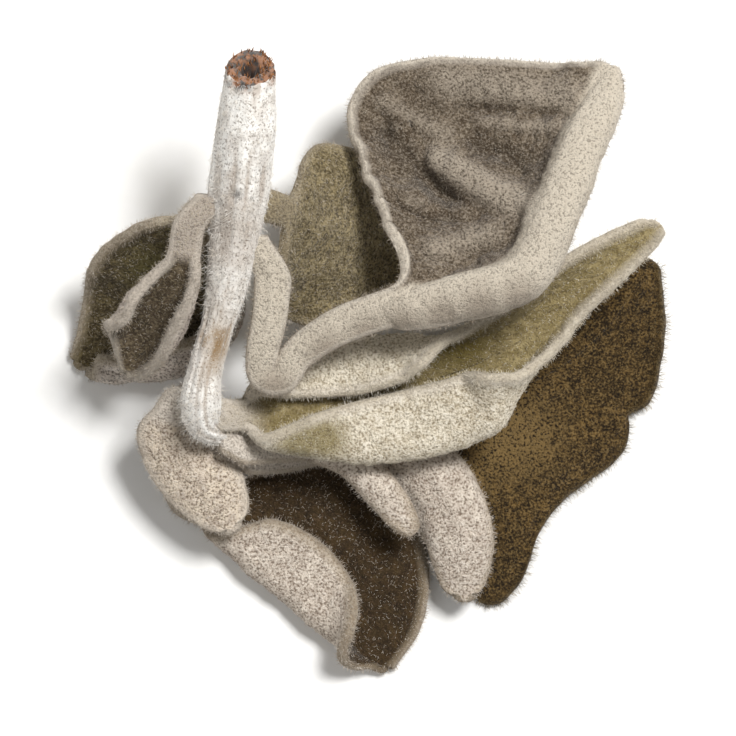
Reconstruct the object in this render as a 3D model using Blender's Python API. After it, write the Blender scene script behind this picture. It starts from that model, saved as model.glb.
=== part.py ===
"""A dried sage sprig, as cut and laid on a table.

One woolly stem with a cut end carries five pairs of opposite leaves. Each leaf is a felted blade on a
petiole, curled and folded as it dried. Lengths in the tables are millimetres in the sprig's own frame:
+Z up, the table at Z 0, the origin under the middle of the sprig.
"""

import math
from dataclasses import dataclass

import bmesh
import bpy
import numpy as np

MM = 0.001

# Driving dimensions, in mm.
BLADE = 0.7  # thickness of a felted blade
PETIOLE_HALF_WIDTH = 0.5
PETIOLE_THICKNESS = 1.0
TIP_HALF_WIDTH = 0.3
RIB_HALF_WIDTH = 0.6  # how far the midrib's swelling spreads to each side
TOOTH = 0.1  # depth of the scalloped margin
EDGE_SHARE = 0.35  # how far a margin's edge stands out, in blade thicknesses
VALLEY_WIDTH = 0.2  # where a half falls beside its midrib, as a share of its reach
MARGIN_PLACES = 200  # fine places along a margin's route
SUB_STEPS = 8  # finer steps over which a half's direction is summed
LEFT_WAVE_LAG = 1.7  # radians by which the left margin's wave trails the right one's
STEM_SIDES = 14
STEM_RINGS = 38
STEM_RIB = 0.06  # height of the stem's four soft ridges, as a share of its radius
CUT_SLANT = 0.55  # how far the cut face leans along the stem, in stem radii
PITH_SHARE = 0.45  # the hollow's radius at the cut, as a share of the stem's
PITH_DEPTH = 0.9
PITH_FLOOR_SHARE = 0.6  # the hollow's floor, as a share of its rim

# The stem's middle line from the cut end to the shoot's tip, and its radius at those places.
STEM_ROUTE = (
    (-6.2, 16.1, 12.2),
    (-6.5, 13.0, 11.2),
    (-6.9, 9.6, 9.9),
    (-7.15, 7.2, 9.2),
    (-7.5, 4.9, 8.6),
    (-8.1, 2.4, 8.0),
    (-8.8, 0.0, 7.4),
    (-9.1, -1.8, 6.9),
    (-9.0, -3.0, 6.1),
    (-8.3, -3.6, 5.0),
    (-7.6, -3.7, 3.9),
)
STEM_RADII = (1.25, 1.5, 1.6, 1.3, 1.15, 0.85, 0.9, 1.1, 0.95, 0.7, 0.55)


@dataclass(frozen=True)
class Side:
    """One half of a blade, from its midrib outwards.

    width is its widest reach in mm. The half leaves the midrib at fold degrees. From the share start
    of its width it rolls by bend more degrees, round a roll of the given radius, as far as it reaches.
    Positive angles rise from the blade's face. width, fold and bend are each a number, or several
    spread evenly along the leaf. Where margin is given, the half spans from the midrib to that route
    instead: it bulges by camber mm between them, and falls away by drop mm close beside the midrib.
    """

    width: float
    fold: float = 0
    bend: float = 0
    start: float = 0.3
    radius: float = 3.0
    margin: tuple = ()
    camber: float = 0.0
    drop: float = 0.0
    steps: int = 5  # faces from the midrib to the margin


@dataclass(frozen=True)
class Swell:
    """A fold in a blade along a line seen from above: a ridge, or a valley where height is below 0."""

    first: tuple
    last: tuple
    height: float
    spread: float


@dataclass(frozen=True)
class Leaf:
    """One leaf: its midrib's route from the stem, and the two halves of its blade."""

    name: str
    route: tuple
    left: Side
    right: Side
    petiole: float  # share of the route that is bare stalk
    stalk: float = PETIOLE_HALF_WIDTH  # its half width: a number, or several as on a Side
    fullness: float = 0.7  # below 1 the outline is blunter
    widest: float = 0.8  # below 1 the widest place moves towards the base
    wave: float = 0.2  # mm that the margin waves up and down
    waves: float = 2.5
    swells: tuple = ()
    rings: int = 24
    colour: str = "grey_green"


LEAVES = (
    Leaf(
        name="leaf_cupped",
        route=(
            (-9.2, 8.3, 8.6),
            (-10.4, 6.7, 6.9),
            (-11.9, 4.8, 4.3),
            (-13.6, 2.8, 1.85),
            (-15.1, 1.3, 0.65),
            (-16.3, 0.4, 0.35),
        ),
        left=Side(
            (1.2, 6.4, 9.4, 4.0),
            (-30, -35, -14, -4),
            (168, 168, 168, 150, 20),
            0.6,
            0.9,
            steps=9,
        ),
        right=Side((2.6, 3.3, 3.3, 2.4), 12, 30, 0.3, 4.5, steps=4),
        petiole=0.06,
        widest=0.7,
        colour="olive",
    ),
    Leaf(
        name="leaf_pod",
        route=(
            (-9.7, 7.4, 9.8),
            (-10.0, 5.6, 9.3),
            (-10.5, 3.8, 8.3),
            (-11.3, 2.0, 7.0),
            (-12.3, 0.8, 6.1),
            (-13.2, -0.1, 5.6),
        ),
        left=Side((1.6, 2.2, 1.8), 20, (100, 130, 80, 0), 0.15, 0.9, steps=5),
        right=Side((0.6, 3.4, 4.4, 2.6), 10, (0, 60, 100, 60, 0), 0.35, 1.2, steps=6),
        petiole=0.14,
        fullness=0.6,
        wave=0.05,
        rings=18,
        colour="lilac_grey",
    ),
    Leaf(
        name="leaf_drooping",
        route=(
            (-4.9, 8.7, 9.1),
            (-3.4, 8.2, 7.6),
            (-1.2, 7.4, 5.0),
            (1.3, 6.6, 2.4),
            (3.8, 6.4, 0.8),
            (5.6, 6.6, 0.3),
        ),
        left=Side(4.8, -10, -30, 0.3, 6.4, steps=4),
        right=Side(5.4, -5, -20, 0.3, 10.8, steps=4),
        petiole=0.08,
        widest=0.65,
        wave=0.45,
        rings=20,
        colour="grey_green",
    ),
    Leaf(
        name="leaf_ridged",
        route=(
            (-5.1, 4.6, 8.6),
            (-5.3, 2.6, 8.3),
            (-5.7, 0.7, 7.9),
            (-5.6, -0.5, 7.6),
            (-4.8, -0.7, 7.6),
            (-3.9, 0.6, 7.8),
            (-2.0, 2.0, 8.2),
            (1.0, 3.2, 8.9),
            (4.8, 4.4, 9.6),
            (8.3, 5.6, 9.8),
            (9.7, 8.4, 9.3),
            (11.3, 12.4, 7.9),
            (13.6, 16.3, 5.6),
        ),
        left=Side(
            9.0,
            margin=(
                (2.2, 4.3, 9.1),
                (2.0, 6.0, 8.3),
                (1.0, 8.5, 7.4),
                (-0.2, 11.5, 6.6),
                (-0.8, 14.2, 6.0),
                (0.4, 16.2, 5.6),
                (3.2, 16.9, 5.5),
                (7.5, 16.7, 5.1),
                (11.0, 16.6, 5.2),
                (12.8, 16.8, 5.5),
            ),
            camber=-0.8,
            drop=1.9,
            steps=9,
        ),
        right=Side((2.0, 2.5, 2.8, 2.8, 2.6), 20, (0, 0, -60, -110, -110, -90), 0.1, 1.1, steps=5),
        petiole=0.4,
        stalk=(0.65, 0.45, 0.7, 0.7, 0.7, 0.7, 0.7),
        widest=0.75,
        fullness=0.6,
        swells=(
            Swell((4.0, 11.3), (8.2, 9.2), 0.8, 0.9),
            Swell((3.7, 6.5), (6.8, 7.4), 0.45, 0.7),
            Swell((4.5, 16.0), (11.2, 14.9), 0.45, 1.2),
            Swell((1.2, 12.7), (4.5, 9.1), -0.6, 0.8),
            Swell((6.2, 12.3), (8.8, 11.2), -0.5, 0.8),
        ),
        rings=40,
        colour="lilac_grey",
    ),
    Leaf(
        name="leaf_boat",
        route=(
            (-7.3, -2.6, 5.5),
            (-6.0, -2.5, 5.0),
            (-3.4, -2.0, 4.2),
            (0.2, -1.4, 3.8),
            (4.2, -0.5, 3.8),
            (8.0, 1.2, 4.2),
            (11.8, 4.3, 5.0),
            (16.0, 7.7, 6.0),
        ),
        left=Side(
            (5.4, 6.6, 6.8, 5.6, 3.4, 3.2, 3.0, 2.6, 2.0),
            (8, 8, 8, 10, 20, 22, 20, 15, 8),
            (160, 172, 172, 140, 60, 40, 30, 20, 20),
            0.38,
            0.65,
            steps=8,
        ),
        right=Side(
            (5.0, 6.7, 7.6, 7.9, 7.4, 2.6, 1.5, 1.2, 1.0),
            (8, 8, 8, 8, 8, 15, 15, 12, 8),
            (150, 172, 172, 172, 172, 70, 30, 15, 10),
            0.4,
            0.7,
            steps=9,
        ),
        petiole=0.03,
        fullness=0.45,
        wave=0.1,
        rings=32,
        colour="pale",
    ),
    Leaf(
        name="leaf_small_hanging",
        route=(
            (-10.6, -2.0, 5.3),
            (-11.1, -2.9, 4.8),
            (-10.4, -4.3, 4.3),
            (-9.3, -6.0, 4.0),
            (-8.2, -7.6, 3.7),
            (-7.5, -8.9, 3.4),
        ),
        left=Side((0.8, 1.4, 2.1, 2.1), -10, -30, 0.3, 3.2, steps=4),
        right=Side((2.2, 2.2, 2.0), -10, -30, 0.3, 3.2, steps=4),
        petiole=0.12,
        fullness=0.5,
        widest=0.8,
        wave=0.05,
        rings=16,
        colour="lilac_grey",
    ),
    Leaf(
        name="leaf_folded_over",
        route=(
            (-7.9, -5.0, 2.3),
            (-9.3, -5.3, 1.5),
            (-10.5, -6.2, 0.9),
            (-10.4, -7.4, 0.5),
            (-8.4, -8.2, 0.4),
            (-4.9, -9.3, 0.3),
            (-1.8, -11.8, 0.3),
            (0.2, -14.6, 0.3),
            (1.0, -16.8, 0.4),
        ),
        left=Side(
            4.0,
            margin=(
                (-8.4, -7.0, 0.7),
                (-6.3, -6.1, 0.5),
                (-3.0, -5.0, 0.4),
                (0.8, -6.2, 0.4),
                (2.8, -9.2, 0.5),
                (3.3, -12.4, 0.5),
                (2.7, -15.0, 0.4),
                (1.4, -16.8, 0.4),
            ),
        ),
        right=Side(
            (1.6, 6.4, 6.9, 6.7, 6.0),
            4,
            (170, 170, 176, 176, 176, 176, 170, 110, 20),
            0.3,
            0.7,
            steps=9,
        ),
        petiole=0.3,
        fullness=0.5,
        rings=32,
        colour="pale",
    ),
    Leaf(
        name="leaf_olive",
        route=(
            (-6.7, -3.2, 3.5),
            (-4.8, -2.8, 1.9),
            (-1.0, -2.2, 0.8),
            (2.0, -2.1, 0.4),
            (5.5, -1.8, 0.3),
            (9.5, -0.8, 0.3),
            (13.4, 2.0, 0.4),
            (16.0, 5.8, 0.8),
        ),
        left=Side(3.6, 0, 10, 0.3, 14.0, steps=4),
        right=Side(
            5.4,
            margin=(
                (0.2, -2.8, 0.7),
                (3.2, -5.6, 0.4),
                (4.9, -9.0, 0.4),
                (5.6, -12.0, 0.4),
                (6.9, -13.3, 0.5),
                (8.9, -11.5, 0.5),
                (9.6, -9.2, 0.4),
                (10.7, -7.5, 0.4),
                (12.6, -6.0, 0.4),
                (14.4, -4.5, 0.5),
                (14.7, -3.1, 0.6),
                (14.5, -2.2, 0.6),
                (15.6, -2.1, 0.7),
                (16.4, 0.2, 0.9),
                (16.7, 3.2, 1.1),
                (16.4, 5.5, 0.9),
            ),
            camber=0.3,
            steps=6,
        ),
        petiole=0.27,
        wave=0.3,
        waves=3.5,
        rings=34,
        colour="olive_brown",
    ),
    Leaf(
        name="leaf_round_tipped",
        route=(
            (-6.3, -5.1, 2.7),
            (-4.6, -5.0, 2.0),
            (-1.4, -4.3, 1.75),
            (1.4, -4.4, 2.05),
            (3.9, -6.2, 2.6),
            (5.3, -9.2, 2.7),
            (5.5, -12.8, 2.0),
        ),
        left=Side(2.0, -10, -60, 0.3, 1.4, steps=4),
        right=Side(2.4, -10, -60, 0.3, 1.6, steps=4),
        petiole=0.42,
        fullness=0.5,
        wave=0.1,
        rings=22,
        colour="pale",
    ),
    Leaf(
        name="leaf_narrow",
        route=(
            (-6.5, -4.5, 4.3),
            (-4.9, -4.4, 3.6),
            (-2.8, -4.4, 3.25),
            (-1.0, -5.0, 3.3),
            (0.8, -6.8, 3.4),
            (2.5, -9.0, 3.3),
        ),
        left=Side(1.0, -10, -80, 0.3, 0.6, steps=2),
        right=Side(1.0, -10, -80, 0.3, 0.6, steps=2),
        petiole=0.3,
        wave=0.0,
        rings=14,
        colour="pale",
    ),
)

COLOURS = {
    "stem": ((0.42, 0.34, 0.28), 0.9),
    "grey_green": ((0.35, 0.35, 0.27), 0.95),
    "lilac_grey": ((0.40, 0.37, 0.34), 0.95),
    "olive": ((0.28, 0.28, 0.16), 0.95),
    "olive_brown": ((0.20, 0.17, 0.10), 0.95),
    "pale": ((0.50, 0.48, 0.42), 0.95),
}


def clear_scene():
    for obj in list(bpy.data.objects):
        bpy.data.objects.remove(obj, do_unlink=True)


def unit(vectors):
    return vectors / np.linalg.norm(vectors, axis=-1, keepdims=True)


def curve_through(points, count):
    """A smooth curve through the points, as count places evenly spaced along it."""
    points = np.array(points, float)
    knots = np.concatenate([[0], np.cumsum(np.linalg.norm(np.diff(points, axis=0), axis=1))])
    slopes = np.gradient(points, knots, axis=0)
    dense = np.linspace(0, knots[-1], 30 * len(points))
    span = np.clip(np.searchsorted(knots, dense, side="right") - 1, 0, len(points) - 2)
    length = (knots[span + 1] - knots[span])[:, None]
    t = (dense - knots[span])[:, None] / length
    line = (
        (1 + 2 * t) * (1 - t) ** 2 * points[span]
        + t * (1 - t) ** 2 * length * slopes[span]
        + t**2 * (3 - 2 * t) * points[span + 1]
        + t**2 * (t - 1) * length * slopes[span + 1]
    )
    run = np.concatenate([[0], np.cumsum(np.linalg.norm(np.diff(line, axis=0), axis=1))])
    even = np.linspace(0, run[-1], count)
    return np.stack([np.interp(even, run, line[:, axis]) for axis in range(3)], axis=1), run[-1]


def along(values, share):
    """A number, or several spread evenly along the leaf, read at each share of its length."""
    values = np.atleast_1d(values)
    return np.interp(share, np.linspace(0, 1, len(values)), values)


def smoothstep(low, high, value):
    t = np.clip((value - low) / (high - low), 0, 1)
    return t * t * (3 - 2 * t)


def midrib_frames(line):
    """Unit vectors to the right of the midrib and out of the blade's face, one pair for each ring."""
    tangent = unit(np.gradient(line, axis=0))
    right = unit(np.cross(tangent, (0.0, 0.0, 1.0)))
    return right, np.cross(right, tangent)


def half_widths(leaf, side, share):
    """The reach of one half at each ring: a bare petiole, then a blunt oval with a scalloped edge."""
    place = np.clip((share - leaf.petiole) / (1 - leaf.petiole), 0, 1)
    oval = np.sin(math.pi * place**leaf.widest) ** leaf.fullness
    oval[-1] = 0
    stalk = along(leaf.stalk, share)
    stalk = stalk + (TIP_HALF_WIDTH - stalk) * place
    tooth = TOOTH * oval * np.cos(math.pi * np.arange(len(share)))
    return stalk + (along(side.width, place) - stalk) * oval + tooth


def spanned_section(leaf, side, share, toward, line, right, face):
    """As half_section, for a half that spans from the midrib to a margin of its own."""
    place = np.clip((share - leaf.petiole) / (1 - leaf.petiole), 0, 1)
    dense, _ = curve_through(side.margin, MARGIN_PLACES)
    even = np.linspace(0, 1, MARGIN_PLACES)
    edge = np.stack([np.interp(place, even, dense[:, axis]) for axis in range(3)], axis=1)
    reach = edge - line
    stalk = toward * right * along(leaf.stalk, share)[:, None]
    opened = smoothstep(-0.02, 0.06, share - leaf.petiole)[:, None]
    reach = stalk + (reach - stalk) * opened
    outward = unit(reach)
    lift = unit(face - outward * np.sum(face * outward, axis=1, keepdims=True))
    reach = reach + outward * TOOTH * (opened * np.cos(math.pi * np.arange(len(share)))[:, None])
    room = np.clip((np.linalg.norm(reach, axis=1) - 2) / (side.width - 2), 0, 1)[:, None, None]
    step = np.linspace(0, 1, side.steps + 1)[None, 1:, None] ** (1 + 0.5 * room)
    wave = leaf.wave * np.sin(2 * math.pi * leaf.waves * share)[:, None] * opened
    bulge = side.camber * opened * np.sin(math.pi * place)[:, None]
    fall = side.drop * room * smoothstep(0, VALLEY_WIDTH, step) * (1 - step)
    rise = bulge[:, None] * 4 * step * (1 - step) - fall + wave[:, None] * step**2
    return reach[:, None] * step + lift[:, None] * rise


def half_section(leaf, side, share, toward, line, right, face):
    """Places from the midrib out to the margin of one half, as rings by steps across by 3."""
    if side.margin:
        return spanned_section(leaf, side, share, toward, line, right, face)
    width = half_widths(leaf, side, share)[:, None]
    step = np.linspace(0, 1, side.steps * SUB_STEPS + 1)[None, :]
    blade = np.clip(width / along(leaf.stalk, share)[:, None] - 1, 0, 1)
    bend = np.radians(along(side.bend, share))[:, None] * blade
    roll = np.maximum(np.abs(bend) * side.radius, 1e-6)
    angle = np.radians(along(side.fold, share))[:, None] * blade
    angle = angle + bend * smoothstep(0, roll, (step - side.start) * width)
    ds = width / (step.shape[1] - 1)
    middle = (angle[:, 1:] + angle[:, :-1]) / 2
    out = np.cumsum(np.cos(middle) * ds, axis=1)
    up = np.cumsum(np.sin(middle) * ds, axis=1)
    phase = 2 * math.pi * leaf.waves * share[:, None] + (0 if toward > 0 else LEFT_WAVE_LAG)
    up = up + leaf.wave * blade * np.sin(phase) * step[:, 1:] ** 2
    kept = slice(SUB_STEPS - 1, None, SUB_STEPS)
    out, up = out[:, kept], up[:, kept]
    return out[..., None] * toward * right[:, None] + up[..., None] * face[:, None]


def folds(leaf, sheet):
    """How far the leaf's swells lift each place of the sheet, fading with distance from their lines."""
    lift = np.zeros(sheet.shape[:2])
    for swell in leaf.swells:
        first = np.array(swell.first)
        run = np.array(swell.last) - first
        share = np.clip(((sheet[..., :2] - first) @ run) / (run @ run), 0, 1)
        gap = np.linalg.norm(sheet[..., :2] - first - share[..., None] * run, axis=-1)
        lift += swell.height * np.exp(-((gap / swell.spread) ** 2))
    return lift


def thickness(leaf, share, across):
    """The blade's thickness at each place: round at the petiole, a swelling at the midrib, thin beyond."""
    place = np.clip((share - leaf.petiole) / (1 - leaf.petiole), 0, 1)[:, None]
    rib = (PETIOLE_THICKNESS - BLADE) * (1 - place) ** 2
    return BLADE + rib * np.exp(-((across / RIB_HALF_WIDTH) ** 2))


def leaf_mesh(leaf):
    """The leaf as one closed skin: a loop of places round each ring, joined ring to ring and capped."""
    line, _ = curve_through(leaf.route, leaf.rings)
    share = np.linspace(0, 1, leaf.rings)
    right, face = midrib_frames(line)
    outer_right = half_section(leaf, leaf.right, share, 1, line, right, face)
    outer_left = half_section(leaf, leaf.left, share, -1, line, right, face)
    outer_left[..., 2] += folds(leaf, outer_left + line[:, None])
    middle = np.zeros((leaf.rings, 1, 3))
    sheet = np.concatenate([outer_left[:, ::-1], middle, outer_right], axis=1) + line[:, None]
    normal = unit(np.cross(np.gradient(sheet, axis=1), np.gradient(sheet, axis=0)))
    gaps = np.linalg.norm(np.diff(sheet, axis=1), axis=2)
    run = np.concatenate([np.zeros((leaf.rings, 1)), np.cumsum(gaps, axis=1)], axis=1)
    across = run - run[:, leaf.left.steps : leaf.left.steps + 1]
    half = thickness(leaf, share, across)[..., None] / 2
    edge = unit(sheet[:, [0, -1]] - sheet[:, [1, -2]]) * BLADE * EDGE_SHARE
    upper = sheet + normal * half
    lower = sheet - normal * half
    margins = sheet[:, [0, -1]] + edge
    loops = np.concatenate([upper, margins[:, 1:], lower[:, ::-1], margins[:, :1]], axis=1)
    loops[:, :, 2] = np.maximum(loops[:, :, 2], 0)
    return skin(loops * MM, leaf.name)


def skin(loops, name):
    """A closed mesh from rings of places, with a fan of triangles over each end."""
    rings, around = loops.shape[:2]
    ends = [loops[0].mean(axis=0), loops[-1].mean(axis=0)]
    places = np.concatenate([loops.reshape(-1, 3), ends])
    first, last = len(places) - 2, len(places) - 1
    faces = []
    for ring in range(rings - 1):
        for spot in range(around):
            a = ring * around + spot
            b = ring * around + (spot + 1) % around
            faces.append((a, b, b + around, a + around))
    for spot in range(around):
        after = (spot + 1) % around
        faces.append((first, after, spot))
        faces.append((last, (rings - 1) * around + spot, (rings - 1) * around + after))
    mesh = bpy.data.meshes.new(name)
    mesh.from_pydata([tuple(place) for place in places], [], faces)
    made = bmesh.new()
    made.from_mesh(mesh)
    bmesh.ops.triangulate(made, faces=made.faces)
    bmesh.ops.recalc_face_normals(made, faces=made.faces)
    made.to_mesh(mesh)
    made.free()
    return mesh


def stem_mesh():
    """A tapering woolly stem with swollen nodes, a slanting cut face and a pith hollow in it."""
    line, _ = curve_through(STEM_ROUTE, STEM_RINGS)
    spans = np.linalg.norm(np.diff(np.array(STEM_ROUTE), axis=0), axis=1)
    stations = np.concatenate([[0], np.cumsum(spans)]) / spans.sum()
    radius = np.interp(np.linspace(0, 1, STEM_RINGS), stations, STEM_RADII)
    tangent = unit(np.gradient(line, axis=0))
    right = unit(np.cross(tangent, (0.0, 0.0, 1.0)))
    face = np.cross(right, tangent)
    turn = np.linspace(0, 2 * math.pi, STEM_SIDES, endpoint=False)
    ribs = 1 + STEM_RIB * np.cos(4 * turn)
    spoke = np.cos(turn)[None, :, None] * right[:, None] + np.sin(turn)[None, :, None] * face[:, None]
    loops = line[:, None] + spoke * (radius[:, None] * ribs[None, :])[..., None]
    slant = tangent[0] * CUT_SLANT * radius[0] * np.sin(turn)[:, None]
    cut = loops[0] + slant
    rim = line[0] + (cut - line[0]) * PITH_SHARE
    floor = line[0] + (rim - line[0]) * PITH_FLOOR_SHARE + tangent[0] * PITH_DEPTH
    return skin(np.concatenate([[floor, rim, cut], loops[1:]]) * MM, "stem")


def finish_of(name):
    colour, roughness = COLOURS[name]
    material = bpy.data.materials.new(name)
    material.use_nodes = True
    shader = material.node_tree.nodes["Principled BSDF"]
    shader.inputs["Base Color"].default_value = (*colour, 1.0)
    shader.inputs["Roughness"].default_value = roughness
    shader.inputs["Metallic"].default_value = 0.0
    return material


def add(mesh, name, colour, parent):
    obj = bpy.data.objects.new(name, mesh)
    bpy.context.scene.collection.objects.link(obj)
    obj.data.materials.append(finish_of(colour))
    obj.data.shade_smooth()
    obj.parent = parent
    return obj


def main():
    clear_scene()
    sprig = bpy.data.objects.new("sprig", None)
    bpy.context.scene.collection.objects.link(sprig)
    add(stem_mesh(), "stem", "stem", sprig)
    for leaf in LEAVES:
        add(leaf_mesh(leaf), leaf.name, leaf.colour, sprig)


main()
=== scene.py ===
"""The looks of a dried sage sprig: felted leaves, a woolly stem and its fibrous cut end, in soft light.

Lengths in the tables are millimetres in the sprig's own frame: +Z up, the table at Z 0, the origin under
the middle of the sprig. Each leaf follows the same midrib route and the same two halves as its solid.
"""

import logging
import math
from dataclasses import dataclass, replace
from enum import Enum
from typing import Iterator, Sequence

import bpy
import numpy as np
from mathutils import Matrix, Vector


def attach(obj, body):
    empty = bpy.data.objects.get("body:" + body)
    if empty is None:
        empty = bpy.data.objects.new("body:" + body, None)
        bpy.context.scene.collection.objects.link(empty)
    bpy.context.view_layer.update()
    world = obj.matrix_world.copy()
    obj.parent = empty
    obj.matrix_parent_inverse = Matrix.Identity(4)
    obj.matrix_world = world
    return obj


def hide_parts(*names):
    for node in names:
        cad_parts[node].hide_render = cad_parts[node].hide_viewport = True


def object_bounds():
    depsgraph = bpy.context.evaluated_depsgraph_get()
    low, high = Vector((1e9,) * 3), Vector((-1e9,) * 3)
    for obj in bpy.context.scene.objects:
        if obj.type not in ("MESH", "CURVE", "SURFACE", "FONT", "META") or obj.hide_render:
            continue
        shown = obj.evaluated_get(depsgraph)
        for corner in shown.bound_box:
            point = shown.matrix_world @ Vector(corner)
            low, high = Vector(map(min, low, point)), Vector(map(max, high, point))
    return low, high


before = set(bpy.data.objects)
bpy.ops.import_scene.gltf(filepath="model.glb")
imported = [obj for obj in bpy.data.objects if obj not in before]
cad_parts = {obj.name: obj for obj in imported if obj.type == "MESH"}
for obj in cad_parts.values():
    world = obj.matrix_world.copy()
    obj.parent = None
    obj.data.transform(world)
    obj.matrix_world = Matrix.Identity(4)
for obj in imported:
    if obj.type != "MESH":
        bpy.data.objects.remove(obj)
SOLID_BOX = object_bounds()

LOG = logging.getLogger("sage_sprig")
Array = np.ndarray
Material, Mesh, Socket = bpy.types.Material, bpy.types.Mesh, bpy.types.NodeSocket
Places = Sequence[tuple[float, float, float]]
Spread = float | tuple[float, ...]

MM = 0.001
GRAIN = 0.13  # mm between neighbouring points of a fine skin
BLADE = 0.7  # thickness of a felted blade
PETIOLE_HALF_WIDTH = 0.5
PETIOLE_THICKNESS = 1.0
TIP_HALF_WIDTH = 0.3
RIB_HALF_WIDTH = 0.6
EDGE_STANDOFF = 0.03  # how far the skin stays inside its nominal faces, for the felt's height
BASE_SOFTNESS = 0.2  # how far along a leaf the start of its halves is rounded
ROLL_STEPS = 3  # steps from grain to grain while a half's roll is summed
RIDGE_HEIGHT = 0.6  # a fold's height at which its painted highlight on a ridge, and its painted shade in a valley, are full
VALLEY_WIDTH = 0.2  # where a half falls beside its midrib, as a share of its reach
LEFT_WAVE_LAG = 1.7  # radians by which the left margin's wave trails the right one's
SWELL_EASE = 1.2  # how far out from the midrib a swell reaches its full height
BAND_SWELL = 0.3  # how far the pale band along a midrib stands up in its middle
BAND_MIDDLE, BAND_WIDTH = 0.5, 0.9  # how far right of the midrib that middle is, and its reach
SCALLOP_PITCH = 1.15
VEIN_PITCH = 2.1  # between lateral veins
VEIN_LEAN = 0.75  # how far a lateral vein runs forward for each mm outward
VEIN_WIDTH, VEIN_LENGTH = 0.16, 9  # reach of a lateral vein to its sides and outward
MIDRIB_WIDTH, THREAD_WIDTH = 0.34, 0.16  # reach of the midrib's vein, and of the net's threads in cells
NET_PITCH = 0.62  # between the meshes of the finest veins
VEIN_HEIGHT, NET_HEIGHT = 0.12, 0.03  # relief of the underside
VEIN_DEPTH, NET_DEPTH = 0.1, 0.04  # relief of the upper side
GRIT_HEIGHT, GRIT_SIZE = 0.035, 0.27  # relief of the felt's own lumps
LUMP_SIZE, SMALL_LUMP_SIZE = 1.7, 0.7  # of the soft lumps of a dried blade
RIM_WIDTH = 0.4  # reach of the paler rim and its fringe inward from the margin
EDGE_STEPS = 5  # points round the rounded margin
ROOT_RINGS, ROOT_FLARE = 12, 0.15  # rings from the stem to the stalk, and how much they widen
TIP_TURNS, TIP_LENGTH = (25, 50, 70, 82), 0.35  # degrees of the rings that round off a tip, and its reach
CLEAR_OF_TABLE = 0.05  # height from which hairs stand, since none grow where a leaf lies
STEM_GRAINS = ((4.3, 3.0), (2.0, 0.7), (9.0, 0.2))  # furrows, lumps, grit: scale round it, mm along it
STEM_RADIUS, STEM_LENGTH, KNOT_AREA = 1.1, 24.0, 30  # usual sizes, for how many hairs to grow
TORN_FIBRES = 140
CUT_PROFILE = (  # rings of the stem's cut face: share of its radius, and share of the pith's depth
    (0.08, 1.0), (0.2, 0.97), (0.32, 0.8), (0.4, 0.45), (0.46, 0.12),
    (0.56, 0.02), (0.68, -0.05), (0.8, -0.04), (0.9, -0.02), (0.97, 0.0),
)
UNCOMBED = np.zeros((1, 3))  # hairs that lean every way


class Looks(Enum):
    """Which face of a leaf is turned up along its midrib."""

    UPPER = 1
    UNDER = 0


class Slot(str, Enum):
    """The record's material slots."""

    STEM = "woolly_stem"
    LEAF = "sage_leaf"


def smoothstep(low: float, high: float, value: Array) -> Array:
    """A smooth rise from 0 at low to 1 at high."""
    t = np.clip((value - low) / (high - low), 0, 1)
    return t * t * (3 - 2 * t)


def unit(vectors: Array) -> Array:
    """The vectors at length 1."""
    return vectors / np.maximum(np.linalg.norm(vectors, axis=-1, keepdims=True), 1e-12)


def norm(vectors: Array) -> Array:
    """The vectors' lengths."""
    return np.linalg.norm(vectors, axis=-1)


def facing(sheet: Array) -> Array:
    """Unit vectors out of a sheet of rings by places by 3: the cross product of its two directions."""
    return unit(np.cross(np.gradient(sheet, axis=1), np.gradient(sheet, axis=0)))


def bell(distance: Array, reach: float) -> Array:
    """A bump of height 1 that fades with distance."""
    return np.exp(-((distance / reach) ** 2))


def along(values: Spread, share: Array) -> Array:
    """Reads a number, or several spread evenly along the leaf, at each share of its length."""
    values = np.atleast_1d(values)
    return np.interp(share, np.linspace(0, 1, len(values)), values)


def blurred(values: Array, pitch: float, reach: float) -> Array:
    """Smooths rows of values with a bell of the given reach, keeping both ends in place.

    Args:
        values: one row for each place.
        pitch: mm between neighbouring rows.
        reach: the bell's half width in mm.

    Returns:
        The smoothed rows.
    """
    half = max(1, int(3 * reach / pitch))
    kernel = np.exp(-((np.arange(-half, half + 1) * pitch / reach) ** 2) / 2)
    kernel /= kernel.sum()
    flat = values.reshape(len(values), -1)
    before = 2 * flat[:1] - flat[half:0:-1]
    after = 2 * flat[-1:] - flat[-2 : -half - 2 : -1]
    padded = np.concatenate([before, flat, after])
    smooth = np.stack([np.convolve(column, kernel, "valid") for column in padded.T], axis=1)
    return smooth.reshape(values.shape)


def curve_through(points: Places, count: int) -> tuple[Array, float]:
    """A smooth curve through the points: cubic pieces whose slopes follow the neighbouring points.

    Args:
        points: the places that the curve passes.
        count: how many places to return, evenly spaced along the curve.

    Returns:
        The places and the curve's length.
    """
    points = np.array(points, float)
    knots = np.concatenate([[0], np.cumsum(norm(np.diff(points, axis=0)))])
    slopes = np.gradient(points, knots, axis=0)
    dense = np.linspace(0, knots[-1], 60 * len(points))
    span = np.clip(np.searchsorted(knots, dense, side="right") - 1, 0, len(points) - 2)
    length = (knots[span + 1] - knots[span])[:, None]
    t = (dense - knots[span])[:, None] / length
    line = (
        (1 + 2 * t) * (1 - t) ** 2 * points[span]
        + t * (1 - t) ** 2 * length * slopes[span]
        + t**2 * (3 - 2 * t) * points[span + 1]
        + t**2 * (t - 1) * length * slopes[span + 1]
    )
    run = np.concatenate([[0], np.cumsum(norm(np.diff(line, axis=0)))])
    even = np.linspace(0, run[-1], count)
    return np.stack([np.interp(even, run, line[:, axis]) for axis in range(3)], axis=1), run[-1]


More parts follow.
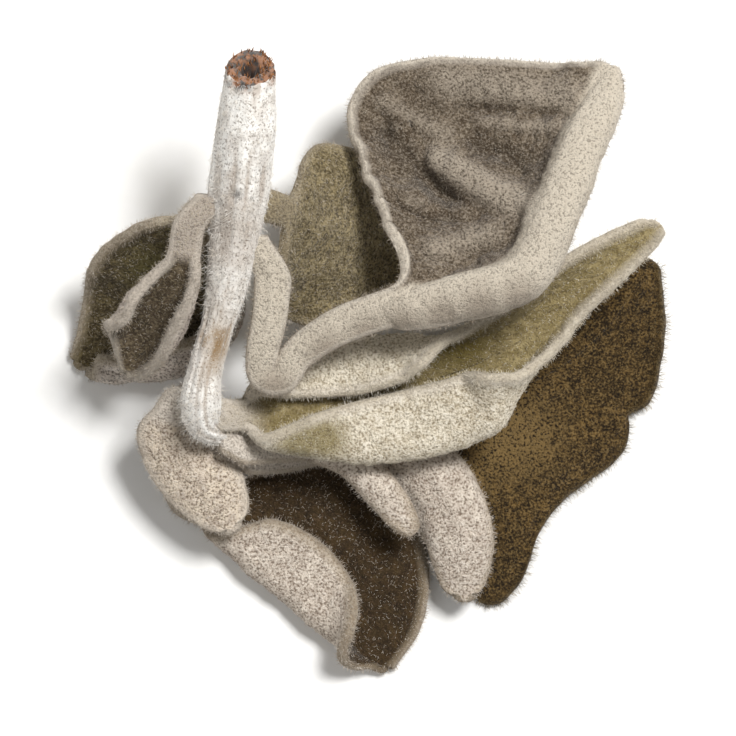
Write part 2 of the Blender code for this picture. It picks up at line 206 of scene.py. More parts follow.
def soft_noise(x: Array, y: Array, seed: int) -> Array:
    """Value noise: a seeded grid of random heights from -1 to 1, blended smoothly between its points.

    Args:
        x: first coordinate, in the grid's steps.
        y: second coordinate, in the grid's steps.
        seed: picks the heights.

    Returns:
        The height at each place.
    """
    table = np.random.default_rng(seed).uniform(-1, 1, (61, 67))
    column, row = np.floor(x).astype(int), np.floor(y).astype(int)
    u, v = smoothstep(0, 1, x - column), smoothstep(0, 1, y - row)
    corner = [[table[(column + i) % 61, (row + j) % 67] for j in (0, 1)] for i in (0, 1)]
    near = corner[0][0] * (1 - v) + corner[0][1] * v
    far = corner[1][0] * (1 - v) + corner[1][1] * v
    return near * (1 - u) + far * u


def cell_gap(x: Array, y: Array, seed: int) -> tuple[Array, Array]:
    """A net of cells round jittered grid points.

    Args:
        x: first coordinate, in cells.
        y: second coordinate, in cells.
        seed: picks the jitter.

    Returns:
        How far the second nearest point is beyond the nearest, which is 0 on the net's threads, and the
        distance to the nearest point.
    """
    jitter = np.random.default_rng(seed).uniform(0.12, 0.88, (61, 67, 2))
    column, row = np.floor(x).astype(int), np.floor(y).astype(int)
    nearest = np.full(x.shape, 9.0)
    second = np.full(x.shape, 9.0)
    for i in (-1, 0, 1):
        for j in (-1, 0, 1):
            spot = jitter[(column + i) % 61, (row + j) % 67]
            gap = np.hypot(column + i + spot[..., 0] - x, row + j + spot[..., 1] - y)
            second = np.minimum(second, np.maximum(nearest, gap))
            nearest = np.minimum(nearest, gap)
    return second - nearest, nearest


@dataclass
class Skin:
    """A closed surface of rings: places in mm, as rings by places round each ring by 3."""

    loops: Array
    marks: dict[str, Array]

    def mesh(self, name: str) -> Mesh:
        """Joins ring to ring with quads, closes both ends with a fan, and stores the marks.

        Args:
            name: the mesh's name.

        Returns:
            The mesh, in metres, its faces pointing out.
        """
        rings, around = self.loops.shape[:2]
        ends = self.loops[[0, -1]].mean(axis=1)
        places = np.concatenate([self.loops.reshape(-1, 3), ends]) * MM
        index = np.arange(rings * around).reshape(rings, around)
        after = np.roll(index, -1, axis=1)
        quads = np.stack([index[:-1], after[:-1], after[1:], index[1:]], axis=-1).reshape(-1, 4)
        first, last = rings * around, rings * around + 1
        fan_low = np.stack([np.full(around, first), after[0], index[0]], axis=-1)
        fan_high = np.stack([np.full(around, last), index[-1], after[-1]], axis=-1)
        made = mesh_of(name, places, quads, np.concatenate([fan_low, fan_high]))
        for mark, values in self.marks.items():
            tips = [values[end].mean(keepdims=True) for end in (0, -1)]
            layer = made.attributes.new(mark, "FLOAT", "POINT")
            layer.data.foreach_set("value", np.concatenate([values.reshape(-1), *tips]).astype(np.float32))
        return made

    def corners(self) -> tuple[Array, ...]:
        """The four corners of every quad, in order round it, as rings - 1 by places round by 3."""
        after = np.roll(self.loops, -1, axis=1)
        return self.loops[:-1], after[:-1], after[1:], self.loops[1:]

    def areas(self) -> Array:
        """Each quad's area in mm2, from the two edges at its first corner."""
        a, b, _, d = self.corners()
        return norm(np.cross(d - a, b - a))

    def scatter(self, count: int, seed: int, weight: Array) -> tuple[Array, Array]:
        """Random spots on the skin.

        Args:
            count: how many spots.
            seed: picks them.
            weight: how dense each quad's spots are, as rings - 1 by places round.

        Returns:
            The spots and the outward unit vectors there.
        """
        rng = np.random.default_rng(seed)
        corners = self.corners()
        a, b, c, d = corners
        cross = np.cross(c - a, d - b)
        chance = norm(cross) * weight
        picked = rng.choice(chance.size, count, p=(chance / chance.sum()).reshape(-1))
        u, v = rng.random((2, count, 1))
        a, b, c, d = (corner.reshape(-1, 3)[picked] for corner in corners)
        spots = (a * (1 - u) + b * u) * (1 - v) + (d * (1 - u) + c * u) * v
        return spots, unit(cross.reshape(-1, 3)[picked]) * self.outward()

    def outward(self) -> float:
        """1 where a quad's corners run so that their cross product points out, and else -1.

        Returns:
            The sign that turns the cross products outward.
        """
        a, b, c, d = self.corners()
        centre = (a + b + c + d) / 4 - self.loops.mean(axis=(0, 1))
        return float(np.sign(np.sum(np.cross(c - a, d - b) * centre)))


def mesh_of(name: str, places: Array, quads: Array, tris: Array) -> Mesh:
    """A mesh from arrays of places and faces, turned so that its faces point out.

    Args:
        name: the mesh's name.
        places: vertex places in metres.
        quads: rows of four vertex numbers.
        tris: rows of three vertex numbers.

    Returns:
        The mesh, shaded smooth.
    """
    split = np.concatenate([quads[:, [0, 1, 2]], quads[:, [0, 2, 3]], tris]).astype(int)
    corners = (places[split] - places.mean(axis=0)) / MM
    if np.einsum("ij,ij->i", corners[:, 0], np.cross(corners[:, 1], corners[:, 2])).sum() < 0:
        quads, tris = quads[:, ::-1], tris[:, ::-1]
    made = bpy.data.meshes.new(name)
    made.vertices.add(len(places))
    made.vertices.foreach_set("co", places.astype(np.float32).reshape(-1))
    made.loops.add(quads.size + tris.size)
    order = np.concatenate([quads.reshape(-1), tris.reshape(-1)])
    made.loops.foreach_set("vertex_index", order.astype(np.int32))
    totals = np.concatenate([np.full(len(quads), 4), np.full(len(tris), 3)]).astype(np.int32)
    made.polygons.add(len(totals))
    made.polygons.foreach_set("loop_start", (np.cumsum(totals) - totals).astype(np.int32))
    made.polygons.foreach_set("loop_total", totals)
    made.update(calc_edges=True)
    made.validate()
    made.shade_smooth()
    return made


def linked(name: str, data: bpy.types.ID) -> bpy.types.Object:
    """Adds an object with the given data to the scene.

    Args:
        name: the object's name.
        data: its mesh, light or camera.

    Returns:
        The object.
    """
    obj = bpy.data.objects.new(name, data)
    bpy.context.scene.collection.objects.link(obj)
    return obj


def piece(made: Mesh, material: Material, slot: Slot, node: str = "") -> bpy.types.Object:
    """Places a finished mesh in the scene, riding on the sprig's one body.

    Args:
        made: the mesh, in its final place.
        material: its finish.
        slot: the record's slot for that finish; not used.
        node: the solid that it stands for, if it stands for one.

    Returns:
        The object.
    """
    obj = linked(made.name, made)
    obj.data.materials.append(material)
    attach(obj, "root")
    if node:
        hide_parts(node)
    LOG.info("%s: %d faces", made.name, len(made.polygons))
    return obj


def linear(hex_colour: str) -> tuple[float, float, float, float]:
    """An sRGB hex colour as linear red, green, blue and alpha."""
    parts = [int(hex_colour[i : i + 2], 16) / 255 for i in (1, 3, 5)]
    return (*(p / 12.92 if p <= 0.04045 else ((p + 0.055) / 1.055) ** 2.4 for p in parts), 1.0)


def add_node(
    tree: bpy.types.NodeTree, kind: str, inputs: dict | None = None, **settings: object
) -> bpy.types.Node:
    """Adds a shader node.

    Args:
        tree: the material's node tree.
        kind: the node's type.
        inputs: for each input, by name or number, its value or the output that feeds it.
        **settings: the node's own properties.

    Returns:
        The node.
    """
    made = tree.nodes.new(kind)
    for key, value in settings.items():
        setattr(made, key, value)
    for key, value in (inputs or {}).items():
        if isinstance(value, Socket):
            tree.links.new(value, made.inputs[key])
        else:
            made.inputs[key].default_value = value
    return made


class Dressing:
    """A material being built, on the coordinates of the object that wears it."""

    def __init__(self, name: str) -> None:
        """Starts the material with its shader alone.

        Args:
            name: the material's name.
        """
        self.material = bpy.data.materials.new(name)
        self.material.use_nodes = True
        self.tree = self.material.node_tree
        self.shader = self.tree.nodes["Principled BSDF"]
        self.coords = add_node(self.tree, "ShaderNodeTexCoord").outputs["Object"]

    def noise(self, size: float, detail: float) -> Socket:
        """Noise with lumps of the given size in millimetres."""
        inputs = {"Vector": self.coords, "Scale": 1 / (size * MM), "Detail": detail}
        return add_node(self.tree, "ShaderNodeTexNoise", inputs).outputs["Fac"]

    def marks(self, *keys: str) -> list[Socket]:
        """The values that the skin carries under these names."""
        return [add_node(self.tree, "ShaderNodeAttribute", attribute_name=key).outputs["Fac"] for key in keys]

    def tint(self, factor: object, low: object, high: object) -> Socket:
        """Blends two colours, each a socket or a hex value, by a factor from 0 to 1.

        Args:
            factor: how much of the second colour shows.
            low: the colour at 0.
            high: the colour at 1.

        Returns:
            The blend.
        """
        ends = {6: low, 7: high}
        inputs = {key: linear(value) if isinstance(value, str) else value for key, value in ends.items()}
        return add_node(self.tree, "ShaderNodeMix", {0: factor, **inputs}, data_type="RGBA").outputs[2]

    def ramped(self, value: object, low: float, high: float, top: float = 1.0) -> Socket:
        """Maps a value to 0 at low and to top at high, held between the two."""
        inputs = {"Value": value, "From Min": low, "From Max": high, "To Max": top}
        return add_node(self.tree, "ShaderNodeMapRange", inputs).outputs["Result"]

    def layered(self, colour: object, layers: Sequence[tuple]) -> Socket:
        """Lays colours over one another.

        Args:
            colour: the lowest colour.
            layers: for each, the value that it follows, where it starts, where it is full, how much it
                then covers, and its colour.

        Returns:
            The finished colour.
        """
        for value, low, high, cover, over in layers:
            colour = self.tint(self.ramped(value, low, high, cover), colour, over)
        return colour

    def bump(self, height: Socket, strength: float, depth: float) -> None:
        """Tilts the light on the surface by a height, depth millimetres from 0 to 1.

        Args:
            height: the height, from 0 to 1.
            strength: how strongly it counts.
            depth: millimetres from height 0 to height 1.
        """
        inputs = {"Height": height, "Strength": strength, "Distance": depth * MM}
        made = add_node(self.tree, "ShaderNodeBump", inputs)
        self.tree.links.new(made.outputs["Normal"], self.shader.inputs["Normal"])

    def done(self, colour: Socket, constants: dict[str, float]) -> Material:
        """Links the colour, sets the shader's constants, and returns the material.

        Args:
            colour: the finished colour.
            constants: the shader's values by name.

        Returns:
            The material.
        """
        self.tree.links.new(colour, self.shader.inputs["Base Color"])
        for key, value in constants.items():
            self.shader.inputs[key].default_value = value
        return self.material


@dataclass(frozen=True)
class LeafFelt:
    """Dried sage leaf: a netted blade under a felt of short pale hairs.

    The felt gives the eye a dull, powdery surface with dark pits between the hairs. The upper side is
    olive where the felt is thin, and the underside is pale where it is thick.
    """

    name: str
    upper: str
    upper_dark: str
    under: str
    under_dark: str
    pit: str = "#2f2415"
    lint: str = "#d9cfc2"
    # A tint of the leaf's own colour; in the ridged leaf's finish, painted shade instead.
    blush_and_shade: str = "#8d8450"
    lint_upper: str = "#93856a"
    rim: str = "#cfc5b7"
    stalk: str = "#cfc5b8"
    dark_share: float = 0.75
    lint_share: float = 0.5
    hair_pale: str = "#d8cec0"
    hair_deep: str = "#a99c8b"

    def material(self) -> Material:
        """Builds the finish from the skin's marks and from noise whose grain is set in millimetres.

        Returns:
            The material.
        """
        look = Dressing(self.name)
        side, vein, rim, stalk, tinge_and_shade, ridge = look.marks("side", "vein", "rim", "stalk", "tinge_and_shade", "ridge")
        patch, mottle = look.noise(2.6, 3.0), look.ramped(look.noise(0.5, 4.0), 0.36, 0.64)
        grain, fibre = look.noise(0.13, 2.0), look.noise(0.06, 2.0)
        upper = look.tint(mottle, self.upper_dark, self.upper)
        under = look.tint(mottle, self.under_dark, self.under)
        dark = look.tint(side, self.under_dark, self.upper_dark)
        lint = look.tint(side, self.lint, self.lint_upper)
        pit = look.tint(look.ramped(stalk, 0.0, 1.0, 0.3), self.pit, self.stalk)
        layers = (
            (patch, 0.56, 0.38, 0.5, dark),
            # Painted light on the folds: paler lint on their ridges, partly a painted highlight, and painted
            # shade in their valleys.
            (ridge, 0.05, 0.9, 0.55, lint),
            (ridge, -0.05, -0.7, 0.6, self.pit),
            (vein, 0.1, 1.0, 0.4, lint),
            (stalk, 0.0, 1.0, 0.9, self.stalk),
            (grain, 0.51, 0.67, self.lint_share, lint),
            # A tint of the leaf's own, and painted shade along the ridged leaf's rolled band.
            (tinge_and_shade, 0.1, 0.8, 0.8, self.blush_and_shade),
            (grain, 0.49, 0.36, self.dark_share, pit),
            (rim, 0.3, 1.0, 0.5, self.rim),
            (fibre, 0.52, 0.7, 0.2, lint),
        )
        colour = look.layered(look.tint(side, under, upper), layers)
        height = add_node(look.tree, "ShaderNodeMath", {0: grain, 1: fibre}, operation="ADD")
        look.bump(height.outputs[0], 0.8, 0.14)
        dull = {"Roughness": 0.95, "Specular IOR Level": 0.1, "Sheen Weight": 0.12, "Sheen Roughness": 0.5}
        return look.done(colour, dull)

    def strand(self) -> "Strand":
        """The finish of this leaf's own hairs."""
        return Strand(self.name + "_hair", self.hair_pale, self.hair_deep)


@dataclass(frozen=True)
class StemWool:
    """Young sage stem under matted wool, with a torn brown end where it was cut.

    The wool gives the eye a near white, matt surface with fine dark pores, and faint lilac painted shade in its
    furrows and under the leaves.
    """

    name: str = "stem_under_wool"
    wool: str = "#f4f1eb"
    # Tone of the random patches, and of the painted shade in the furrows and under the leaves.
    patch_and_shade: str = "#a99b8d"
    pore: str = "#5f4d3b"
    bark: str = "#86683c"
    cut: str = "#8f5a30"
    pith: str = "#1d0f07"

    def material(self) -> Material:
        """Builds the finish: wool over bark, and cut wood and pith where the marks say.

        Returns:
            The material.
        """
        look = Dressing(self.name)
        painted_shade, bare, cut, pith = look.marks("painted_shade", "bare", "cut", "pith")
        patch, speck = look.noise(0.9, 4.0), look.noise(0.12, 2.0)
        fibre, wood = look.noise(0.06, 3.0), look.noise(0.4, 2.0)
        torn = look.tint(look.ramped(wood, 0.42, 0.56), self.pith, self.cut)
        layers = (
            # Random patches, then painted shade in the furrows and where the leaves shade the wool.
            (patch, 0.54, 0.4, 0.35, self.patch_and_shade),
            (painted_shade, 0.1, 1.0, 0.8, self.patch_and_shade),
            (speck, 0.53, 0.66, 0.75, self.pore),
            (bare, 0.0, 1.0, 1.0, self.bark),
            (fibre, 0.5, 0.7, 0.3, self.wool),
            (cut, 0.0, 1.0, 1.0, torn),
            (pith, 0.0, 1.0, 1.0, self.pith),
        )
        look.bump(fibre, 0.5, 0.06)
        matt = {"Roughness": 0.9, "Specular IOR Level": 0.2, "Sheen Weight": 0.4, "Sheen Roughness": 0.5}
        return look.done(look.layered(self.wool, layers), matt)


@dataclass(frozen=True)
class Strand:
    """Plant hair or fibre: dull and pale, a little darker on some strands than on others."""

    name: str
    pale: str
    deep: str
    grain: float = 0.5  # mm over which its tone varies

    def material(self) -> Material:
        """Builds the finish: two tones that vary from strand to strand.

        Returns:
            The material.
        """
        look = Dressing(self.name)
        colour = look.tint(look.ramped(look.noise(self.grain, 2.0), 0.35, 0.65), self.deep, self.pale)
        return look.done(colour, {"Roughness": 0.75, "Specular IOR Level": 0.25})


@dataclass(frozen=True)
class HairCoat:
    """A coat of hairs, each a bent three-sided spike sunk a little into the skin that it grows from."""

    per_square_mm: float
    length: tuple[float, float]
    half_width: float = 0.014
    rise: float = 0.5  # share of a hair's direction that is straight out of the skin
    bow: float = 0.35  # how far a hair's middle is pushed sideways, as a share of its length

    def mesh(self, name: str, spots: Array, out: Array, comb: Array, seed: int) -> Mesh:
        """Grows one hair on each spot: a base triangle, a triangle at its middle and a point.

        Args:
            name: the mesh's name.
            spots: where the hairs stand.
            out: unit vectors out of the skin there.
            comb: which way the hairs lie, added to their random lean.
            seed: picks their lean and length.

        Returns:
            The mesh.
        """
        rng = np.random.default_rng(seed)
        count = len(spots)
        lean = unit(np.cross(out, unit(rng.normal(size=(count, 3)))) + comb)
        way = unit(out * self.rise + lean * (1 - self.rise))
        length = rng.uniform(*self.length, (count, 1))
        aside = unit(np.cross(way, unit(rng.normal(size=(count, 3)))))
        other = np.cross(way, aside)
        sunk = spots - out * self.half_width * 2
        middle = spots + way * length * 0.5 + aside * length * self.bow * 0.3
        tip = spots + way * length + aside * length * self.bow * rng.uniform(-1, 1, (count, 1))
        tip[:, 2] = np.maximum(tip[:, 2], 0.01)
        middle[:, 2] = np.maximum(middle[:, 2], 0.015)
        turns = np.radians([90, 210, 330])
        spoke = aside[:, None] * np.cos(turns)[None, :, None] + other[:, None] * np.sin(turns)[None, :, None]
        base = sunk[:, None] + spoke * self.half_width
        waist = middle[:, None] + spoke * self.half_width * 0.75
        places = np.concatenate([base, waist, tip[:, None]], axis=1).reshape(-1, 3) * MM
        foot = np.arange(count)[:, None] * 7
        quads = np.concatenate([foot + np.array([[k, (k + 1) % 3, 3 + (k + 1) % 3, 3 + k]]) for k in range(3)])
        tops = [foot + np.array([[3 + k, 3 + (k + 1) % 3, 6]]) for k in range(3)]
        tris = np.concatenate([*tops, foot + np.array([[2, 1, 0]])])
        return mesh_of(name, places, quads, tris)


@dataclass(frozen=True)
class Spine:
    """A route at evenly spaced rings: places, and unit vectors ahead, to the right and out of its face."""

    line: Array
    ahead: Array
    right: Array
    face: Array
    length: float

    @classmethod
    def follow(cls, route: Places, pitch: float, ease: float, calm: float) -> "Spine":
        """Follows a route.

        Args:
            route: the places that it passes.
            pitch: about how far its rings are apart.
            ease: the reach over which its line is smoothed.
            calm: the reach over which its direction is smoothed.

        Returns:
            The spine.
        """
        _, length = curve_through(route, 50)
        rings = int(length / pitch)
        line, _ = curve_through(route, rings)
        pitch = length / (rings - 1)
        line = blurred(line, pitch, ease)
        ahead = unit(blurred(unit(np.gradient(line, axis=0)), pitch, calm))
        right = unit(np.cross(ahead, (0.0, 0.0, 1.0)))
        return cls(line, ahead, right, np.cross(right, ahead), length)

    @property
    def share(self) -> Array:
        """Each ring's share of the length."""
        return np.linspace(0, 1, len(self.line))

    @property
    def pitch(self) -> float:
        """How far the rings are apart."""
        return self.length / (len(self.line) - 1)


@dataclass(frozen=True)
class Side:
    """One half of a blade, from its midrib outwards, as on its solid.

    width is its widest reach. The half leaves the midrib at fold degrees. From the share start of its
    width it rolls by bend more degrees round a roll of the given radius. Where margin is given, it spans
    from the midrib to that route instead, bulging by camber and falling by drop beside the midrib.
    """

    width: Spread
    fold: Spread = 0
    bend: Spread = 0
    start: Spread = 0.3
    radius: float = 3.0
    margin: Places = ()
    camber: float = 0.0
    drop: float = 0.0

    @property
    def grains(self) -> int:
        """Points from the midrib to the margin, about a grain apart where the half is widest."""
        stretch = 1.3 if self.margin else 1.0
        return max(8, int(stretch * float(np.max(self.width)) / GRAIN))


@dataclass(frozen=True)
class Swell:
    """A fold in a blade along a line seen from above: a ridge, or a valley where height is below 0."""

    first: tuple[float, float]
    last: tuple[float, float]
    height: float
    spread: float


@dataclass
class Leaf:
    """One leaf of the sprig: its midrib's route, its two halves and its finish."""

    name: str
    route: Places
    join: tuple[float, float, float]  # where its stalk runs into the stem
    left: Side
    right: Side
    finish: LeafFelt
    petiole: float
    looks: Looks = Looks.UNDER
    stalk: Spread = PETIOLE_HALF_WIDTH
    fullness: float = 0.7
    widest: float = 0.8
    wave: float = 0.2
    waves: float = 2.5
    swells: tuple[Swell, ...] = ()
    veins: float = 0.35  # how strongly the veins show
    scallop: float = 0.05  # depth of the margin's teeth
    crumple: float = 0.1
    band: float = 0.0  # how far the pale stalk's colour goes on along the midrib's band
    tinge_and_shade: tuple[tuple[float, float, float, float], ...] = ()  # places and reach of the finish's blush: the leaf's own tint, and painted shade on the ridged leaf's band
    fringe: float = 1.0  # length of its margins' hairs, against the usual
    seed: int = 1

    def place(self, share: Array) -> Array:
        """How far along the blade, past the stalk, each share of the leaf's length is."""
        return np.clip((share - self.petiole) / (1 - self.petiole), 0, 1)

    def reach(self, side: Side, spine: Spine) -> Array:
        """Half width: stalk, then sin(pi * place ** widest) ** fullness of the side's width, scalloped.

        Args:
            side: the half's sizes.
            spine: the midrib.

        Returns:
            How far the half reaches at each ring.
        """
        place = self.place(spine.share)
        oval = np.abs(np.sin(math.pi * place**self.widest)) ** self.fullness
        stalk = along(self.stalk, spine.share)
        stalk = stalk + (TIP_HALF_WIDTH - stalk) * place
        teeth = self.scallops(spine.share, spine.length)
        return stalk + (along(side.width, place) - stalk) * oval + teeth * oval

    def scallops(self, share: Array, length: float) -> Array:
        """The scalloped margin: round teeth a pitch apart, of uneven depth.

        Args:
            share: each ring's share of the length.
            length: the length that the teeth run along.

        Returns:
            How far the margin stands out at each ring.
        """
        turn = share * length / SCALLOP_PITCH
        uneven = 0.75 + 0.5 * soft_noise(turn * 0.9, turn * 0 + 3.3, self.seed)
        return self.scallop * uneven * (2 * np.abs(np.sin(math.pi * turn)) - 1.2)

    def curled_half(self, side: Side, toward: int, spine: Spine) -> Array:
        """Places across a half: its direction's angle, fold plus what it has rolled, summed along its width.

        Args:
            side: the half's sizes.
            toward: 1 on the right of the midrib and -1 on its left.
            spine: the midrib.

        Returns:
            Offsets from the midrib, as rings by grains by 3.
        """
        share = spine.share
        width = self.reach(side, spine)[:, None]
        step = np.linspace(0, 1, side.grains * ROLL_STEPS + 1)[None, :]
        blade = np.clip(width / along(self.stalk, share)[:, None] - 1, 0, 1)
        bend = np.radians(along(side.bend, share))[:, None] * blade
        roll = np.maximum(np.abs(bend) * side.radius, 1e-6)
        angle = np.radians(along(side.fold, share))[:, None] * blade
        angle = angle + bend * smoothstep(0, roll, (step - along(side.start, share)[:, None]) * width)
        middle = (angle[:, 1:] + angle[:, :-1]) / 2
        stride = width / (step.shape[1] - 1)
        out = np.cumsum(np.cos(middle) * stride, axis=1)
        up = np.cumsum(np.sin(middle) * stride, axis=1)
        phase = 2 * math.pi * self.waves * share[:, None] + (0 if toward > 0 else LEFT_WAVE_LAG)
        up = up + self.wave * blade * np.sin(phase) * step[:, 1:] ** 2
        out, up = (values[:, ROLL_STEPS - 1 :: ROLL_STEPS, None] for values in (out, up))
        return out * toward * spine.right[:, None] + up * spine.face[:, None]

    def spanned_half(self, side: Side, toward: int, spine: Spine) -> Array:
        """Places across a half that reaches to a margin of its own: straight rulings plus a bulge.

        Args:
            side: the half's sizes.
            toward: 1 on the right of the midrib and -1 on its left.
            spine: the midrib.

        Returns:
            Offsets from the midrib, as rings by grains by 3.
        """
        share, place, count = spine.share, self.place(spine.share), 600
        dense, _ = curve_through(side.margin, count)
        dense = blurred(dense, spine.length / count, 0.35)
        edge = np.stack([np.interp(place, np.linspace(0, 1, count), column) for column in dense.T], axis=1)
        stalk = toward * spine.right * along(self.stalk, share)[:, None]
        opened = smoothstep(-0.02, 0.06, share - self.petiole)[:, None]
        span = stalk + (edge - spine.line - stalk) * opened
        outward = unit(span)
        lift = unit(spine.face - outward * np.sum(spine.face * outward, axis=1, keepdims=True))
        span = span + outward * self.scallops(share, spine.length * 1.3)[:, None] * opened
        wide = float(np.max(side.width))
        room = np.clip((norm(span) - 2) / (wide - 2), 0, 1)[:, None, None]
        step = np.linspace(0, 1, side.grains + 1)[None, 1:, None] ** (1 + 0.5 * room)
        wave = self.wave * np.sin(2 * math.pi * self.waves * share)[:, None] * opened
        bulge = side.camber * opened * np.sin(math.pi * place)[:, None]
        fall = side.drop * room * smoothstep(0, VALLEY_WIDTH, step) * (1 - step)
        rise = bulge[:, None] * 4 * step * (1 - step) - fall + wave[:, None] * step**2
        return span[:, None] * step + lift[:, None] * rise

    def half(self, side: Side, toward: int, spine: Spine) -> Array:
        """The half in whichever of the two ways its sizes ask for, rounded a little where it starts."""
        way = self.spanned_half if side.margin else self.curled_half
        return blurred(way(side, toward, spine), spine.pitch, BASE_SOFTNESS)

    def skin(self) -> Skin:
        """The leaf's closed skin: a sheet, thickened both ways, in relief, with round margins.

        Returns:
            The skin, marked with side, vein, rim, stalk, ridge (the folds' painted highlight and shade) and
            tinge_and_shade.
        """
        spine = Spine.follow(self.route, GRAIN, 0.25, 0.3)
        left, right = self.half(self.left, -1, spine), self.half(self.right, 1, spine)
        ease = smoothstep(0, SWELL_EASE, norm(left))
        left[..., 2] += self.folds(left + spine.line[:, None]) * ease
        middle = np.zeros((len(spine.line), 1, 3))
        sheet = np.concatenate([left[:, ::-1], middle, right], axis=1) + spine.line[:, None]
        gaps = norm(np.diff(sheet, axis=1))
        run = np.concatenate([middle[..., 0], np.cumsum(gaps, axis=1)], axis=1)
        across = run - run[:, self.left.grains : self.left.grains + 1]
        forward = np.broadcast_to(spine.share[:, None] * spine.length, across.shape)
        sheet = sheet + facing(sheet) * self.creases(forward, across, spine.share)[..., None]
        return self.thickened(sheet, forward, across, spine.share)

    def folds(self, sheet: Array) -> Array:
        """The swells' lift at each place: a bell across each swell's line.

        Args:
            sheet: places in the sprig's frame.

        Returns:
            How far each place is lifted.
        """
        lift = np.zeros(sheet.shape[:2])
        for swell in self.swells:
            first = np.array(swell.first)
            run = np.array(swell.last) - first
            share = np.clip(((sheet[..., :2] - first) @ run) / (run @ run), 0, 1)
            gap = norm(sheet[..., :2] - first - share[..., None] * run)
            lift += swell.height * bell(gap, swell.spread)
        return lift

    def creases(self, forward: Array, across: Array, share: Array) -> Array:
        """How far the sheet stands out of its smooth form: soft lumps of two sizes, as it dried.

        Args:
            forward: mm along the midrib.
            across: mm out from the midrib.
            share: each ring's share of the leaf's length.

        Returns:
            The lumps' height at each place.
        """
        along_blade = smoothstep(self.petiole, self.petiole + 0.12, share)[:, None]
        blade = along_blade * smoothstep(0.4, 2.0, np.abs(across))
        coarse = soft_noise(forward / LUMP_SIZE + 7, across / LUMP_SIZE, self.seed + 3)
        fine = soft_noise(forward / SMALL_LUMP_SIZE, across / SMALL_LUMP_SIZE + 5, self.seed + 4)
        calm = 1 - 0.7 * self.band * smoothstep(-1.8, -0.6, across)
        return (0.2 + blade) * self.crumple * (coarse + 0.5 * fine) * calm

    def net(self, forward: Array, across: Array) -> tuple[Array, Array, Array]:
        """The vein net in the sheet's own coordinates.

        Args:
            forward: mm along the midrib.
            across: mm out from the midrib.

        Returns:
            The midrib and lateral veins, the fine net's threads, and the pits between them, each 0 to 1.
        """
        warp = soft_noise(forward / 1.3, across / 1.3, self.seed + 5)
        turn = (forward - np.abs(across) * VEIN_LEAN) / VEIN_PITCH + 0.22 * warp
        off = np.abs(turn - np.round(turn)) * VEIN_PITCH
        lateral = bell(off, VEIN_WIDTH) * np.exp(-np.abs(across) / VEIN_LENGTH)
        midrib = bell(across, MIDRIB_WIDTH)
        x = forward / NET_PITCH + 0.5 * soft_noise(forward / 0.5, across / 0.5, self.seed + 6)
        y = across / NET_PITCH + 0.5 * soft_noise(forward / 0.5 + 9, across / 0.5, self.seed + 7)
        gap, near = cell_gap(x, y, self.seed + 8)
        veins = self.veins * np.maximum(midrib, 0.8 * lateral)
        return veins, bell(gap, THREAD_WIDTH), smoothstep(0.42, 0.05, near)

    def thickened(self, sheet: Array, forward: Array, across: Array, share: Array) -> Skin:
        """Turns the sheet into a closed skin.

        Args:
            sheet: the blade's middle surface.
            forward: mm along the midrib.
            across: mm out from the midrib.
            share: each ring's share of the leaf's length.

        Returns:
            The marked skin: each side stands half the thickness off the sheet, plus relief.
        """
        normal = facing(sheet)
        rib = (PETIOLE_THICKNESS - BLADE) * (1 - self.place(share)[:, None]) ** 2
        half = (BLADE + rib * bell(across, RIB_HALF_WIDTH)) / 2
        veins, net, pits = self.net(forward, across)
        stalk = np.broadcast_to(1 - smoothstep(-0.03, 0.05, share - self.petiole)[:, None], across.shape)
        blade = 1 - 0.75 * stalk
        pale = np.maximum(stalk, self.band * smoothstep(-1.3, -0.6, across))
        grit = GRIT_HEIGHT * soft_noise(forward / GRIT_SIZE, across / GRIT_SIZE, self.seed + 9)
        under = (VEIN_HEIGHT * veins + NET_HEIGHT * (net - pits)) * blade + grit
        upper = grit - (VEIN_DEPTH * veins + NET_DEPTH * net) * blade
        edge_gap = np.minimum(across - across[:, :1], across[:, -1:] - across)
        calm = smoothstep(0.0, 0.35, edge_gap)
        is_upper = self.looks.value
        top, bottom = (upper, under) if is_upper else (under, upper)
        swelling = self.band * BAND_SWELL * bell(across - BAND_MIDDLE, BAND_WIDTH) * (1 - stalk)
        above = sheet + normal * (half + top * calm + swelling - EDGE_STANDOFF)[..., None]
        below = sheet - normal * (half + bottom * calm - EDGE_STANDOFF)[..., None]
        turned = [self.margin(sheet, normal, half, column) for column in (-1, 0)]
        rim = bell(edge_gap, RIM_WIDTH) * (1 - stalk)
        marks = {}
        for key, high, low, mid in (
            ("side", is_upper, 1 - is_upper, 0.5),
            ("vein", veins, veins, 0.0),
            ("rim", rim, rim, 1.0),
            ("stalk", pale, pale, pale[:, -1:]),
        ):
            high, low = np.broadcast_to(high, across.shape), np.broadcast_to(low, across.shape)
            edge = np.broadcast_to(mid, (len(share), EDGE_STEPS))
            marks[key] = np.concatenate([high, edge, low[:, ::-1], edge], axis=1).astype(float)
        return self.ended(np.concatenate([above, turned[0], below[:, ::-1], turned[1]], axis=1), marks)

    def margin(self, sheet: Array, normal: Array, half: Array, column: int) -> Array:
        """A half circle round one margin: from face to back on the right, back to face on the left.

        Args:
            sheet: the blade's middle surface.
            normal: unit vectors out of its face.
            half: half the blade's thickness.
            column: 0 for the left margin and -1 for the right.

        Returns:
            Places round the margin, as rings by steps by 3.
        """
        inner = -2 if column else 1
        outward = unit(sheet[:, column] - sheet[:, inner])
        turn = np.linspace(math.pi / 2, -math.pi / 2, EDGE_STEPS + 2)[1:-1]
        turn = turn if column else turn[::-1]
        radius = half[:, column][:, None, None] - EDGE_STANDOFF
        cos, sin = np.cos(turn)[None, :, None], np.sin(turn)[None, :, None]
        ray = outward[:, None] * cos + normal[:, column][:, None] * sin
        return sheet[:, column][:, None] + ray * radius

